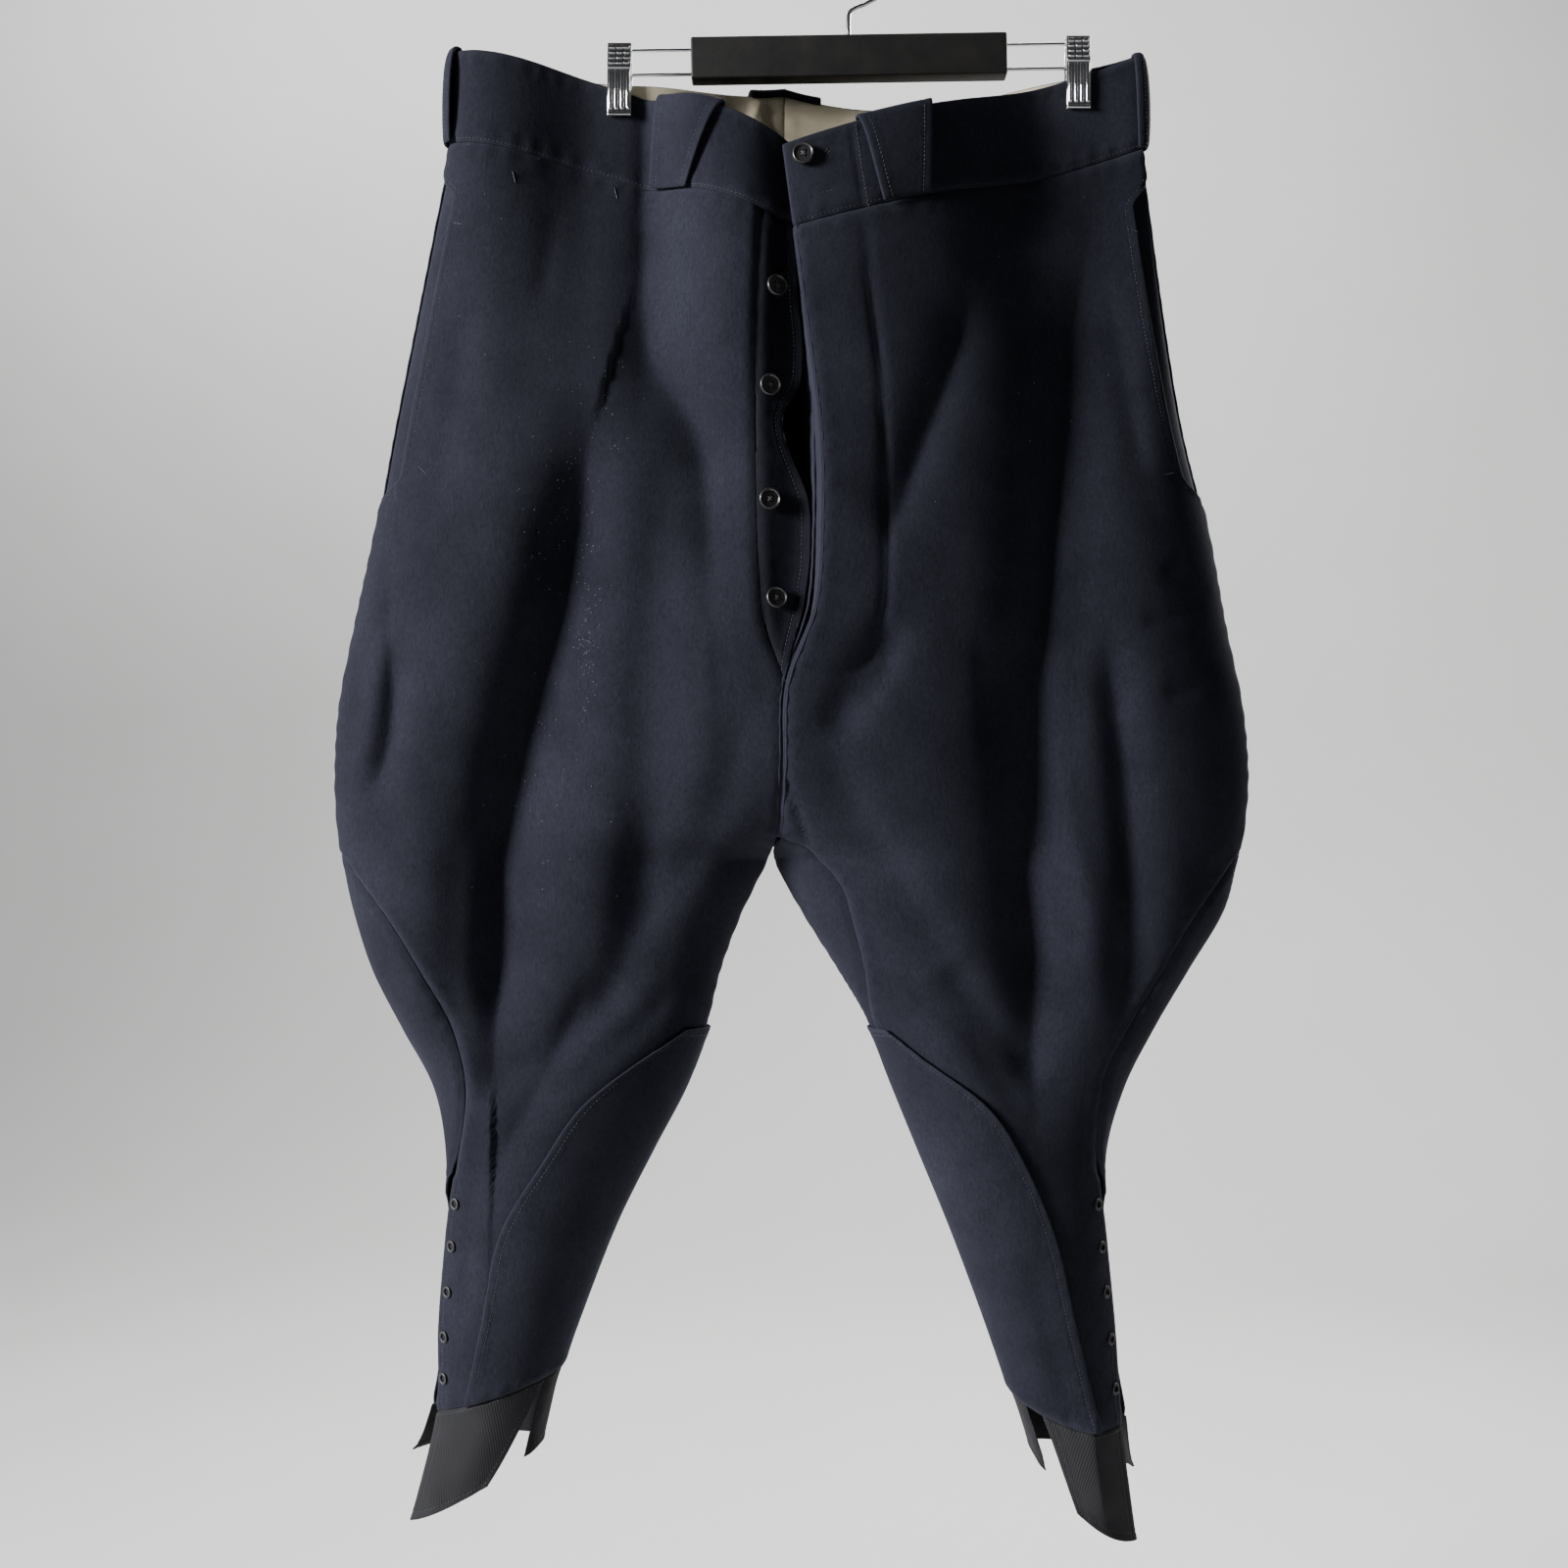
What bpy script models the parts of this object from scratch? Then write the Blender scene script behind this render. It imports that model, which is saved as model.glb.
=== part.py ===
"""Military breeches of dark wool cloth, hung from a bar hanger by two spring clips.

Metres, +Z up, the front faces -Y. The origin is the inner top of the hanger's hook, where a peg bears.
Tables are in millimetres. Right and left are the wearer's, so the right leg lies at -X.
"""

import math

import bmesh
import bpy
import numpy as np
from mathutils import Matrix, Vector

MM = 0.001
WOOL = 1.8
BAND = 2.4
COTTON = 1.2
LINING = 1.0
LOOP = 2.0
GAP = 0.3
SEAM = 0.2
BUTTON_ACROSS = 14.0
BUTTON_THICK = 3.0
BUTTON_LIFT = 0.9
EYELET_ACROSS = 8.0
EYELET_HOLE = 4.4
EYELET_THICK = 1.0
EYELET_LIFT = 0.5

# The clips close the front and the back of the band on each other, up to PINCH from the middle plane.
# The cloth opens again over PINCH_SPREAD sideways, or within PINCH_TUCK at the right clip's inner side.
CLIP_X = 154.0
CLIP_HALF = 8.5
CLIP_TOP = -74.0
CLIP_LONG = 50.0
PINCH = 3.3
PINCH_EDGE = 6.0
PINCH_SPREAD = 62.0
PINCH_TUCK = 28.0
PINCH_REACH = 150.0
PINCH_FULL = -130.0

# The rows of a leg's section table, from the waistband's top edge (0) to the hem of the continuation
TOP_EDGE = 0.0
WAIST_SEAM = 1.0
FLY_END = 7.0
PATCH_TOP = 13.0
SLIT_TOP = 15.0
CUFF_SEAM = 18.0
HEM = 19.0

# Each row is one section: the outseam, the centre front, the centre back, how deep the front and the back
# stand from the middle plane, how open the section is at the centre (1 above the fork, 0 on a closed leg),
# how far the inseam is turned to the front, and how much the row hangs between its ends in front and behind.
COLUMNS = ("out_x", "out_z", "front_x", "front_z", "back_x", "back_z", "front", "back",
           "open", "wrap", "front_sag", "back_sag")
RIGHT_LEG = (
    (-267, -84, -22, -165, -44, -97, 46, 34, 1.0, 0.00, 13, -12),
    (-270, -145, -22, -216, -44, -159, 50, 36, 1.0, 0.00, 8, -10),
    (-281, -205, -22, -256, -44, -215, 55, 40, 1.0, 0.00, 4, -6),
    (-294, -271, -22, -302, -44, -277, 59, 44, 1.0, 0.00, 2, -3),
    (-307, -337, -22, -352, -44, -339, 61, 47, 1.0, 0.00, 0, 0),
    (-319, -403, -22, -405, -44, -403, 62, 50, 1.0, 0.00, 0, 0),
    (-333, -469, -26, -460, -44, -465, 62, 51, 1.0, 0.00, 0, 0),
    (-343, -521, -42.4, -510, -44, -516, 60, 50, 1.0, 0.00, 0, 0),
    (-346, -568, -44.3, -560, -44.5, -562, 59, 50, 0.90, 0.00, 0, 0),
    (-344, -607, -47, -600, -47, -602, 60, 50, 0.42, 0.00, 0, 0),
    (-340, -628, -53.5, -624, -53.5, -624, 62, 50, 0.0, 0.00, 0, 0),
    (-333, -660, -71, -660, -71, -660, 62, 50, 0.0, 0.00, 0, 0),
    (-320, -700, -85, -697, -85, -697, 60, 49, 0.0, 0.00, 0, 0),
    (-300, -739, -95, -736, -95, -736, 56, 47, 0.0, 0.00, 0, 0),
    (-279, -779, -110, -776, -110, -776, 51, 44, 0.0, 0.00, 0, 0),
    (-271, -825, -132, -818, -132, -818, 46, 41, 0.0, 0.00, 0, 0),
    (-273, -878, -156, -866, -156, -866, 41, 38, 0.0, 0.00, 0, 0),
    (-277, -937, -177, -919, -177, -919, 36, 34, 0.0, 0.04, 0, 0),
    (-279, -994, -193, -965, -193, -965, 31, 30, 0.0, 0.16, 0, 0),
    (-297, -1068, -205, -1015, -205, -1015, 28, 27, 0.0, 0.20, -3, 0),
)
LEFT_LEG = (
    (196, -86, -45, -163, -44, -97, 46, 34, 1.0, 0.00, 0, -17),
    (199, -147, -38, -217, -44, -159, 50, 36, 1.0, 0.00, -2, -14),
    (206, -205, -33, -258, -44, -215, 55, 40, 1.0, 0.00, 0, -3),
    (215, -271, -27, -302, -44, -277, 59, 44, 1.0, 0.00, 0, -2),
    (226, -337, -21, -352, -44, -339, 61, 47, 1.0, 0.00, 0, 0),
    (242, -403, -20, -405, -44, -403, 62, 50, 1.0, 0.00, 0, 0),
    (254, -469, -24, -460, -44, -465, 62, 51, 1.0, 0.00, 0, 0),
    (265, -521, -42.0, -510, -44, -516, 60, 50, 1.0, 0.00, 0, 0),
    (269, -568, -43.9, -560, -44.1, -562, 59, 50, 0.90, 0.00, 0, 0),
    (266, -607, -46.6, -600, -46.6, -602, 60, 50, 0.42, 0.00, 0, 0),
    (261, -628, -50.5, -624, -50.5, -624, 62, 50, 0.0, 0.03, 0, 0),
    (252, -660, -32, -660, -32, -660, 62, 50, 0.0, 0.17, 0, 0),
    (228, -700, -7, -700, -7, -700, 60, 49, 0.0, 0.14, 0, 0),
    (205, -739, 14, -736, 14, -736, 56, 47, 0.0, 0.03, 0, 0),
    (185, -779, 30, -776, 30, -776, 51, 44, 0.0, 0.00, 0, 0),
    (173, -825, 48, -820, 48, -820, 46, 41, 0.0, 0.00, 0, 0),
    (175, -878, 69, -871, 69, -871, 41, 38, 0.0, 0.00, 0, 0),
    (180, -937, 90, -927, 90, -927, 36, 34, 0.0, 0.04, 0, 0),
    (185, -1002, 109, -982, 109, -982, 31, 30, 0.0, 0.16, -6, 4),
    (195, -1080, 121, -1019, 121, -1019, 28, 27, 0.0, 0.20, -13, 0),
)

# Each fold is a trough (or, with a negative depth, a ridge) along a line of (x, z) points, with the
# width of its slope on either side of the line.
RIGHT_FRONT_FOLDS = (
    (((-167, -345), (-181, -403), (-191, -456), (-210, -523), (-229, -604), (-232, -671), (-234, -769)),
     15, 28, 16),
    (((-141, -100), (-138, -190), (-131, -292), (-96, -357), (-90, -470)), 12, 16, 8),
    (((-51, -140), (-51, -200), (-53, -262)), 13, 15, 11),
    (((-126, -480), (-130, -600)), 20, 22, 6),
    (((-306, -439), (-300, -522), (-309, -568), (-323, -583)), 12, 12, 5),
    (((-298, -461), (-311, -508), (-320, -550), (-331, -572)), 10, 10, -4),
    (((-150, -700), (-190, -745), (-245, -775)), 16, 14, 5),
)
LEFT_FRONT_FOLDS = (
    (((142, -180), (126, -261), (105, -370), (102, -453), (94, -509), (95, -590), (89, -631), (100, -684),
      (113, -800)), 24, 17, 16),
    (((70, -287), (55, -321), (36, -370), (22, -425)), 15, 15, 8),
    (((149, -540), (155, -631), (168, -715)), 15, 15, 8),
    (((30, -470), (10, -500), (-15, -545)), 14, 14, 5),
    (((205, -430), (238, -455)), 12, 12, 4),
    (((60, -690), (95, -740), (130, -768)), 14, 14, 5),
)
RIGHT_BACK_FOLDS = (
    (((-152, -190), (-165, -300), (-190, -420), (-205, -560), (-200, -700)), 18, 22, 13),
    (((-90, -480), (-130, -560), (-190, -620)), 16, 18, 9),
    (((-250, -420), (-285, -520), (-270, -640)), 16, 16, 7),
    (((-130, -730), (-190, -765), (-250, -770)), 15, 15, 6),
)
LEFT_BACK_FOLDS = (
    (((152, -190), (140, -300), (118, -430), (125, -560), (140, -690)), 20, 20, 13),
    (((0, -480), (35, -560), (95, -625)), 16, 18, 9),
    (((180, -420), (214, -520), (200, -640)), 16, 16, 7),
    (((50, -740), (105, -775), (160, -775)), 15, 15, 6),
)

# The back continuation is cut shorter at the outer side, and its corner stands out past the slit
SHORT_BACK = 44.0
FLAP = 5.0
FLAP_ROWS = 0.5
OUTLINE_POWER = 2.4
OUTLINE_ROUND = 0.55
SPREAD = 0.35
FLY_RIM = 60.0


def smooth_table(table, s):
    """Values of the table's columns at the row numbers s, on a smooth curve through the rows.

    A row number below 0 goes straight on above the first row."""
    rows = np.array(table, dtype=float)
    last = len(rows) - 1
    above = np.minimum(s, 0)[..., None]
    s = np.clip(np.asarray(s, dtype=float), 0, last)
    at = np.minimum(s.astype(int), last - 1)
    f = (s - at)[..., None]
    a, b, c, d = (rows[np.clip(at + k, 0, last)] for k in (-1, 0, 1, 2))
    curve = 2 * b + (c - a) * f + (2 * a - 5 * b + 4 * c - d) * f ** 2 + (3 * b - a - 3 * c + d) * f ** 3
    return 0.5 * curve + above * (rows[1] - rows[0])


def smooth_line(points, count=25):
    """Points along a smooth curve through the given ones."""
    return smooth_table(points, np.linspace(0, len(points) - 1, count))


def step(value, start, end):
    """0 before start, 1 after end, smooth between."""
    f = np.clip((value - start) / (end - start), 0, 1)
    return f * f * (3 - 2 * f)


def fold_depth(folds, x, z):
    """How far the folds push the cloth in at each (x, z)."""
    total = np.zeros_like(x)
    for line, before, after, depth in folds:
        path = smooth_line(line)
        lengths = np.linalg.norm(np.diff(path, axis=0), axis=1)
        along = np.concatenate([[0], np.cumsum(lengths)])
        best = np.full_like(x, 1e9)
        side = np.zeros_like(x)
        where = np.zeros_like(x)
        for i, length in enumerate(lengths):
            ux, uz = (path[i + 1] - path[i]) / length
            dx = x - path[i, 0]
            dz = z - path[i, 1]
            f = np.clip(dx * ux + dz * uz, 0, length)
            away = np.hypot(dx - f * ux, dz - f * uz)
            closer = away < best
            best = np.where(closer, away, best)
            side = np.where(closer, dx * uz - dz * ux, side)
            where = np.where(closer, (along[i] + f) / along[-1], where)
        slope = np.where(side < 0, after, before)
        fade = step(where, -0.08, 0.18) * (1 - step(where, 0.8, 1.08))
        total += depth * fade * np.exp(-(best / slope) ** 2)
    return total


class Leg:
    """Half of the breeches, from the waistband's top edge to the hem, as a surface over (s, a).

    s is the row of the section table. a runs over the front from the centre (0) to the outseam (1), and over
    the back from the outseam (-1) to the centre (0)."""

    def __init__(self, name, table, front_folds, back_folds, outward, fly_lift, tuck):
        self.name = name
        self.table = table
        self.front_folds = front_folds
        self.back_folds = back_folds
        self.outward = outward
        self.fly_lift = fly_lift
        self.tuck = tuck

    def across(self, t, opened):
        """Share of the way from the centre to the outseam, with more points at a rounded edge."""
        half = SPREAD * t + (1 - SPREAD) * np.sin(0.5 * np.pi * t)
        whole = 0.25 * t + 0.75 * 0.5 * (1 - np.cos(np.pi * t))
        return opened * half + (1 - opened) * whole

    def a_at(self, s, x):
        """The place on the front at which row s reaches x."""
        row = dict(zip(COLUMNS, smooth_table(self.table, s)))
        t = np.linspace(0, 1, 400)
        wanted = (x - row["front_x"]) / (row["out_x"] - row["front_x"])
        return float(np.interp(wanted, self.across(t, row["open"]), t))

    def point(self, s, a):
        """The cloth's outer face, in millimetres."""
        s, a = np.broadcast_arrays(np.asarray(s, float), np.asarray(a, float))
        a = np.where(a > 1, a - 2, np.where(a < -1, a + 2, a))
        row = dict(zip(COLUMNS, np.moveaxis(smooth_table(self.table, s), -1, 0)))
        opened = np.clip(row["open"], 0, 1)
        front = a >= 0
        g = self.across(np.abs(a), opened)
        inner_x = np.where(front, row["front_x"], row["back_x"])
        inner_z = np.where(front, row["front_z"], row["back_z"])
        sag = np.where(front, row["front_sag"], row["back_sag"])
        x = inner_x + (row["out_x"] - inner_x) * g
        z = inner_z + (row["out_z"] - inner_z) * g + sag * 4 * g * (1 - g)
        behind = np.where(front, 0, 1)
        z = z + behind * SHORT_BACK * np.maximum(s - CUFF_SEAM, 0) * g
        x = x - self.outward * behind * FLAP * np.exp(-((s - CUFF_SEAM) / FLAP_ROWS) ** 2) * g ** 8
        outer = np.maximum(1 - g ** OUTLINE_POWER, 0) ** OUTLINE_ROUND
        inner = np.maximum(1 - (1 - opened) * (1 - g) ** OUTLINE_POWER, 0) ** OUTLINE_ROUND
        deep = np.where(front, row["front"], row["back"]) * outer * inner
        clip = np.maximum(np.abs(np.abs(x) - CLIP_X) - CLIP_HALF - PINCH_EDGE, 0)
        below = np.maximum(PINCH_FULL - z, 0)
        spread = np.where(front & (np.abs(x) < CLIP_X), self.tuck, PINCH_SPREAD)
        held = np.exp(-(clip / spread) ** 2 - (below / PINCH_REACH) ** 2)
        deep = deep * (1 - held) + np.minimum(PINCH, deep) * held
        folds = np.where(front, fold_depth(self.front_folds, x, z), fold_depth(self.back_folds, x, z))
        deep = deep - folds * (1 - held) * np.minimum(1, outer * inner / 0.55)
        lift = self.fly_lift * (1 - step(s, 6.0, FLY_END)) * np.exp(-((x - inner_x) / FLY_RIM) ** 2)
        deep = deep + np.where(front, lift, 0)
        return np.stack([x, np.where(front, -deep, deep), z], axis=-1)

    def normal(self, s, a, low, high):
        """Unit vectors away from the wearer, by differences inside the piece's own range."""
        e = 0.004
        along = self.point(np.minimum(s + e * 4, HEM), a) - self.point(s - e * 4, a)
        round_ = self.point(s, np.minimum(a + e, high)) - self.point(s, np.maximum(a - e, low))
        n = self.outward * np.cross(round_, along)
        return n / np.linalg.norm(n, axis=-1, keepdims=True)

    def net(self, rows, columns):
        """Points and normals at the places that columns(s) gives on each row."""
        a = np.array([columns(v) for v in rows])
        s = np.repeat(np.asarray(rows, float)[:, None], a.shape[1], axis=1)
        closed = smooth_table(self.table, s)[..., COLUMNS.index("open")] < 0.001
        front = a.mean() > 0
        low = np.where(closed | (not front), -1.2, 0.0)
        high = np.where(closed | front, 1.2, -1e-9)
        return self.point(s, np.clip(a, low, high)), self.normal(s, a, low, high)


RIGHT = Leg("right", RIGHT_LEG, RIGHT_FRONT_FOLDS, RIGHT_BACK_FOLDS, 1, 0.0, PINCH_TUCK)
LEFT = Leg("left", LEFT_LEG, LEFT_FRONT_FOLDS, LEFT_BACK_FOLDS, -1, 6.0, PINCH_SPREAD)
LEGS = (RIGHT, LEFT)


def material(name, colour, roughness, metallic=0.0):
    made = bpy.data.materials.new(name)
    made.use_nodes = True
    shader = made.node_tree.nodes["Principled BSDF"]
    shader.inputs["Base Color"].default_value = (*colour, 1.0)
    shader.inputs["Roughness"].default_value = roughness
    shader.inputs["Metallic"].default_value = metallic
    return made


def finish(name, bm, finish_material, smooth=True):
    """Turn a bmesh in millimetres into the named object, faces outwards."""
    bmesh.ops.remove_doubles(bm, verts=bm.verts, dist=1e-5)
    bmesh.ops.recalc_face_normals(bm, faces=bm.faces)
    if bm.calc_volume(signed=True) < 0:
        bmesh.ops.reverse_faces(bm, faces=bm.faces)
    bmesh.ops.scale(bm, vec=(MM, MM, MM), verts=bm.verts)
    mesh = bpy.data.meshes.new(name)
    bm.to_mesh(mesh)
    bm.free()
    mesh.materials.append(finish_material)
    if smooth:
        mesh.shade_smooth()
        mesh.set_sharp_from_angle(angle=math.radians(50))
    made = bpy.data.objects.new(name, mesh)
    bpy.context.collection.objects.link(made)
    return made


def inset(points, distance):
    """Draw a net's four edges in by distance, so that sewn pieces keep a gap."""
    points = points.copy()
    for axis in (0, 1):
        net = np.moveaxis(points, axis, 0)
        for edge, inside in ((0, 1), (-1, -2)):
            way = net[inside] - net[edge]
            way = way / np.maximum(np.linalg.norm(way, axis=-1, keepdims=True), 1e-6)
            net[edge] += way * distance
    return points


def wall(name, outer, inner, finish_material):
    """A closed wall of cloth between two nets of the same size."""
    rows, columns = outer.shape[:2]
    bm = bmesh.new()
    faces = []
    for net in (outer, inner):
        faces.append([[bm.verts.new(net[i, j]) for j in range(columns)] for i in range(rows)])
    for net in faces:
        for i in range(rows - 1):
            for j in range(columns - 1):
                near, far = net[i][j], net[i + 1][j + 1]
                for corner in (net[i][j + 1], net[i + 1][j]):
                    bm.faces.new([near, corner, far])
    top, under = faces
    rim = [(0, j) for j in range(columns)]
    rim += [(i, columns - 1) for i in range(1, rows)]
    rim += [(rows - 1, j) for j in range(columns - 2, -1, -1)]
    rim += [(i, 0) for i in range(rows - 2, 0, -1)]
    for (i, j), (k, m) in zip(rim, rim[1:] + rim[:1]):
        bm.faces.new([top[i][j], top[k][m], under[k][m], under[i][j]])
    return finish(name, bm, finish_material)


def cloth(name, leg, rows, columns, offset, thick, finish_material, bow=0.0):
    """A piece cut from the leg's surface, its outer face moved out by offset, its wall going inwards.

    bow is how far its middle rows stand off further than its first and last."""
    points, normals = leg.net(rows, columns)
    points = inset(points, SEAM)
    hump = bow * np.sin(np.pi * np.linspace(0, 1, len(rows))) ** 0.7
    outer = points + normals * (offset + hump[:, None, None])
    return wall(name, outer, outer - normals * thick, finish_material)


def even(start, end, count):
    """Columns at equal steps between two edges, each a function of the row."""
    return lambda s: np.linspace(start(s), end(s), count + 1)


def fixed(value):
    return lambda s: value


def clear():
    for item in list(bpy.data.objects):
        bpy.data.objects.remove(item, do_unlink=True)


# The edges of the cut pieces
FLY_EDGE_ROWS = (1.0, 2.5, 4.5, 5.5, 6.3, 6.8, 7.0)
FLY_EDGE_X = (-59, -61.5, -62, -60, -55, -46, -42.6)
UNDERLAP_EDGE_X = (-38, -40, -40, -40, -40.5, -41, -42.2)
POCKET_TOP = 1.35
POCKET_END = 4.5
POCKET_WIDE = 0.12
POCKET_FACING = (0.78, 0.99)
POCKET_DEEP = 1.2
SLIT_WIDE = 0.09
PATCH = 1.5
PATCH_ROWS = (13.0, 13.5, 14.0, 15.0, 16.0, 17.0, 18.0, 19.0)
PATCH_REACH = {"right": (0.14, 0.28, 0.39, 0.50, 0.60, 0.61, 0.66, 0.66),
               "left": (0.13, 0.25, 0.38, 0.52, 0.59, 0.61, 0.67, 0.67)}
CONTINUATION_START = {"right": (0.17, 0.41), "left": (0.30, 0.42)}
FRONT_COLUMNS = 13
BACK_COLUMNS = 10
PATCH_COLUMNS = 5
PANEL_ROWS = np.arange(WAIST_SEAM, CUFF_SEAM + 0.25, 0.5)
BAND_FRONT = np.linspace(0, 1, 28)
BAND_BACK = np.append(np.linspace(-1, -0.075, 14), -1e-9)
LOOP_LIFT = 0.66
LOOP_BOW = 1.4
SIDE_LOOP_BOW = 2.8
LOOP_TOP = -0.07
LOOP_END = 0.98
LINING_ROWS = (0.05, 0.97)
# Each front loop: its name, leg, and the x of its two edges at the band's top and at the seam
FRONT_LOOPS = (
    ("belt_loop_front_right", RIGHT, (-126, -85), (-132, -107)),
    ("belt_loop_front_left", LEFT, (5, 51), (21, 50)),
)


def inseam(leg):
    """How far the inseam is turned to the front."""
    return lambda s: max(0.0, float(smooth_table(leg.table, s)[COLUMNS.index("wrap")]))


def fly_seam(s):
    """Edge of the right front: the underlap's seam above, the crotch seam and the inseam below."""
    if s >= FLY_END:
        return inseam(RIGHT)(s)
    return RIGHT.a_at(s, np.interp(s, FLY_EDGE_ROWS, FLY_EDGE_X))


def underlap_edge(s):
    return RIGHT.a_at(s, np.interp(s, FLY_EDGE_ROWS, UNDERLAP_EDGE_X))


def pocket_cut(s):
    return POCKET_WIDE * float(step(s, POCKET_TOP, POCKET_TOP + 0.3) * (1 - step(s, POCKET_END, POCKET_END + 0.3)))


def slit_cut(s):
    return SLIT_WIDE * float(step(s, SLIT_TOP, SLIT_TOP + 0.6))


def patch_reach(leg, s):
    """Where the knee patch's front edge lies on row s."""
    return float(np.interp(s, PATCH_ROWS, PATCH_REACH[leg.name]))


def panel_columns(start, end, edge, before, after):
    """Columns of a panel from start to end, one of which runs along the knee patch's edge."""
    def columns(s):
        first, last = start(s), end(s)
        even_place = first + (last - first) * before / (before + after)
        middle = even_place + (edge(s) - even_place) * float(step(s, PATCH_TOP - 3.0, PATCH_TOP))
        return np.concatenate([np.linspace(first, middle, before + 1), np.linspace(middle, last, after + 1)[1:]])
    return columns


def front_columns(leg):
    start = fly_seam if leg is RIGHT else inseam(leg)
    return panel_columns(start, lambda s: 1 - pocket_cut(s) - slit_cut(s), lambda s: patch_reach(leg, s),
                         PATCH_COLUMNS, FRONT_COLUMNS - PATCH_COLUMNS)


def back_columns(leg):
    return panel_columns(lambda s: -1 + 0.6 * slit_cut(s), inseam(leg), lambda s: -0.9 * patch_reach(leg, s),
                         BACK_COLUMNS - PATCH_COLUMNS, PATCH_COLUMNS)


def patch_columns(leg):
    return lambda s: np.concatenate([back_columns(leg)(s)[-PATCH_COLUMNS - 1:],
                                     front_columns(leg)(s)[1:PATCH_COLUMNS + 1]])


def panels(wool):
    for leg in LEGS:
        cloth("front_" + leg.name, leg, PANEL_ROWS, front_columns(leg), 0.0, WOOL, wool)
        cloth("back_" + leg.name, leg, PANEL_ROWS, back_columns(leg), 0.0, WOOL, wool)


def knee_patches(wool):
    """Each patch lies on the panels round the inseam, from the fork of the knee to the continuation."""
    rows = PANEL_ROWS[PANEL_ROWS >= PATCH_TOP]
    for leg in LEGS:
        cloth("knee_patch_" + leg.name, leg, rows, patch_columns(leg), PATCH + GAP + 0.1, PATCH, wool)


def continuations(cotton):
    """The front one is cut away along its inner edge, so the back one shows beside it."""
    rows = np.linspace(CUFF_SEAM, HEM, 4)
    for leg in LEGS:
        top, hem = CONTINUATION_START[leg.name]
        columns = even(lambda s: top + (hem - top) * (s - CUFF_SEAM), lambda s: 1 - SLIT_WIDE, 9)
        cloth("continuation_front_" + leg.name, leg, rows, columns, -0.3, COTTON, cotton)
        cloth("continuation_back_" + leg.name, leg, rows, back_columns(leg), -0.3, COTTON, cotton)


def waistband(wool):
    """Each half of the band is a front and a back stretch that meet at the side."""
    rows = np.linspace(TOP_EDGE, WAIST_SEAM, 4)
    for leg in LEGS:
        front, front_out = leg.net(rows, fixed(BAND_FRONT))
        back, back_out = leg.net(rows, fixed(BAND_BACK))
        points = inset(np.concatenate([front, back[:, 1:]], axis=1), SEAM)
        normals = np.concatenate([front_out, back_out[:, 1:]], axis=1)
        wall("waistband_" + leg.name, points, points - normals * BAND, wool)


def waist_lining(lining):
    """The lining of the back band, from beside the side loop to the centre back."""
    rows = np.linspace(*LINING_ROWS, 4)
    for leg in LEGS:
        cloth("waist_lining_" + leg.name, leg, rows, fixed(BAND_BACK[1:]), -BAND - GAP - 0.1, LINING, lining)


def belt_loops(wool):
    """Straps sewn down at the band's top edge and at its seam, standing off between the two."""
    rows = np.linspace(LOOP_TOP, LOOP_END, 7)
    off = GAP + LOOP_LIFT + LOOP
    for name, leg, top, bottom in FRONT_LOOPS:
        def columns(s):
            low, high = (leg.a_at(s, top[k] + (bottom[k] - top[k]) * s) for k in (0, 1))
            return np.linspace(low, high, 9)
        cloth(name, leg, rows, columns, off, LOOP, wool, LOOP_BOW)
    for leg in LEGS:
        side = np.concatenate([BAND_FRONT[-2:], BAND_BACK[1:4] + 2])
        cloth("belt_loop_side_" + leg.name, leg, rows, fixed(side), off, LOOP, wool, SIDE_LOOP_BOW)
    halves = [leg.net(rows, fixed(BAND_BACK[-2:])) for leg in LEGS]
    (right, right_out), (left, left_out) = halves
    points = np.concatenate([right, left[:, -2::-1]], axis=1)
    normals = np.concatenate([right_out, left_out[:, -2::-1]], axis=1)
    hump = LOOP_BOW * np.sin(np.pi * np.linspace(0, 1, len(rows))) ** 0.7
    under = points + normals * (GAP + 0.2 + hump[:, None, None])
    wall("belt_loop_back", under + normals * LOOP, under, wool)


def fly(wool, cotton):
    """The underlap carries the buttons; the facing lies behind the left front's edge."""
    rows = PANEL_ROWS[PANEL_ROWS < FLY_END]
    cloth("fly_underlap", RIGHT, rows, even(underlap_edge, fly_seam, 3), 0.0, WOOL, wool)
    rows = PANEL_ROWS[(PANEL_ROWS > WAIST_SEAM) & (PANEL_ROWS < FLY_END - 0.5)]
    cloth("fly_facing", LEFT, rows, lambda s: front_columns(LEFT)(s)[:4], -WOOL - GAP - 0.1, COTTON, cotton)


def pocket_facings(wool):
    """The facing closes the pocket's slit from behind."""
    rows = PANEL_ROWS[(PANEL_ROWS > POCKET_TOP) & (PANEL_ROWS <= POCKET_END)]
    start, end = (fixed(a) for a in POCKET_FACING)
    for leg in LEGS:
        cloth("pocket_facing_" + leg.name, leg, rows, even(start, end, 5), -WOOL - POCKET_DEEP, COTTON, wool)


def facing(leg, s, a):
    """Place and outward direction of a point on the cloth."""
    place = leg.point(s, a)
    out = leg.normal(np.array(s, float), np.array(a, float), -1.2, 1.2)
    return Vector(place), Vector(out)


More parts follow.
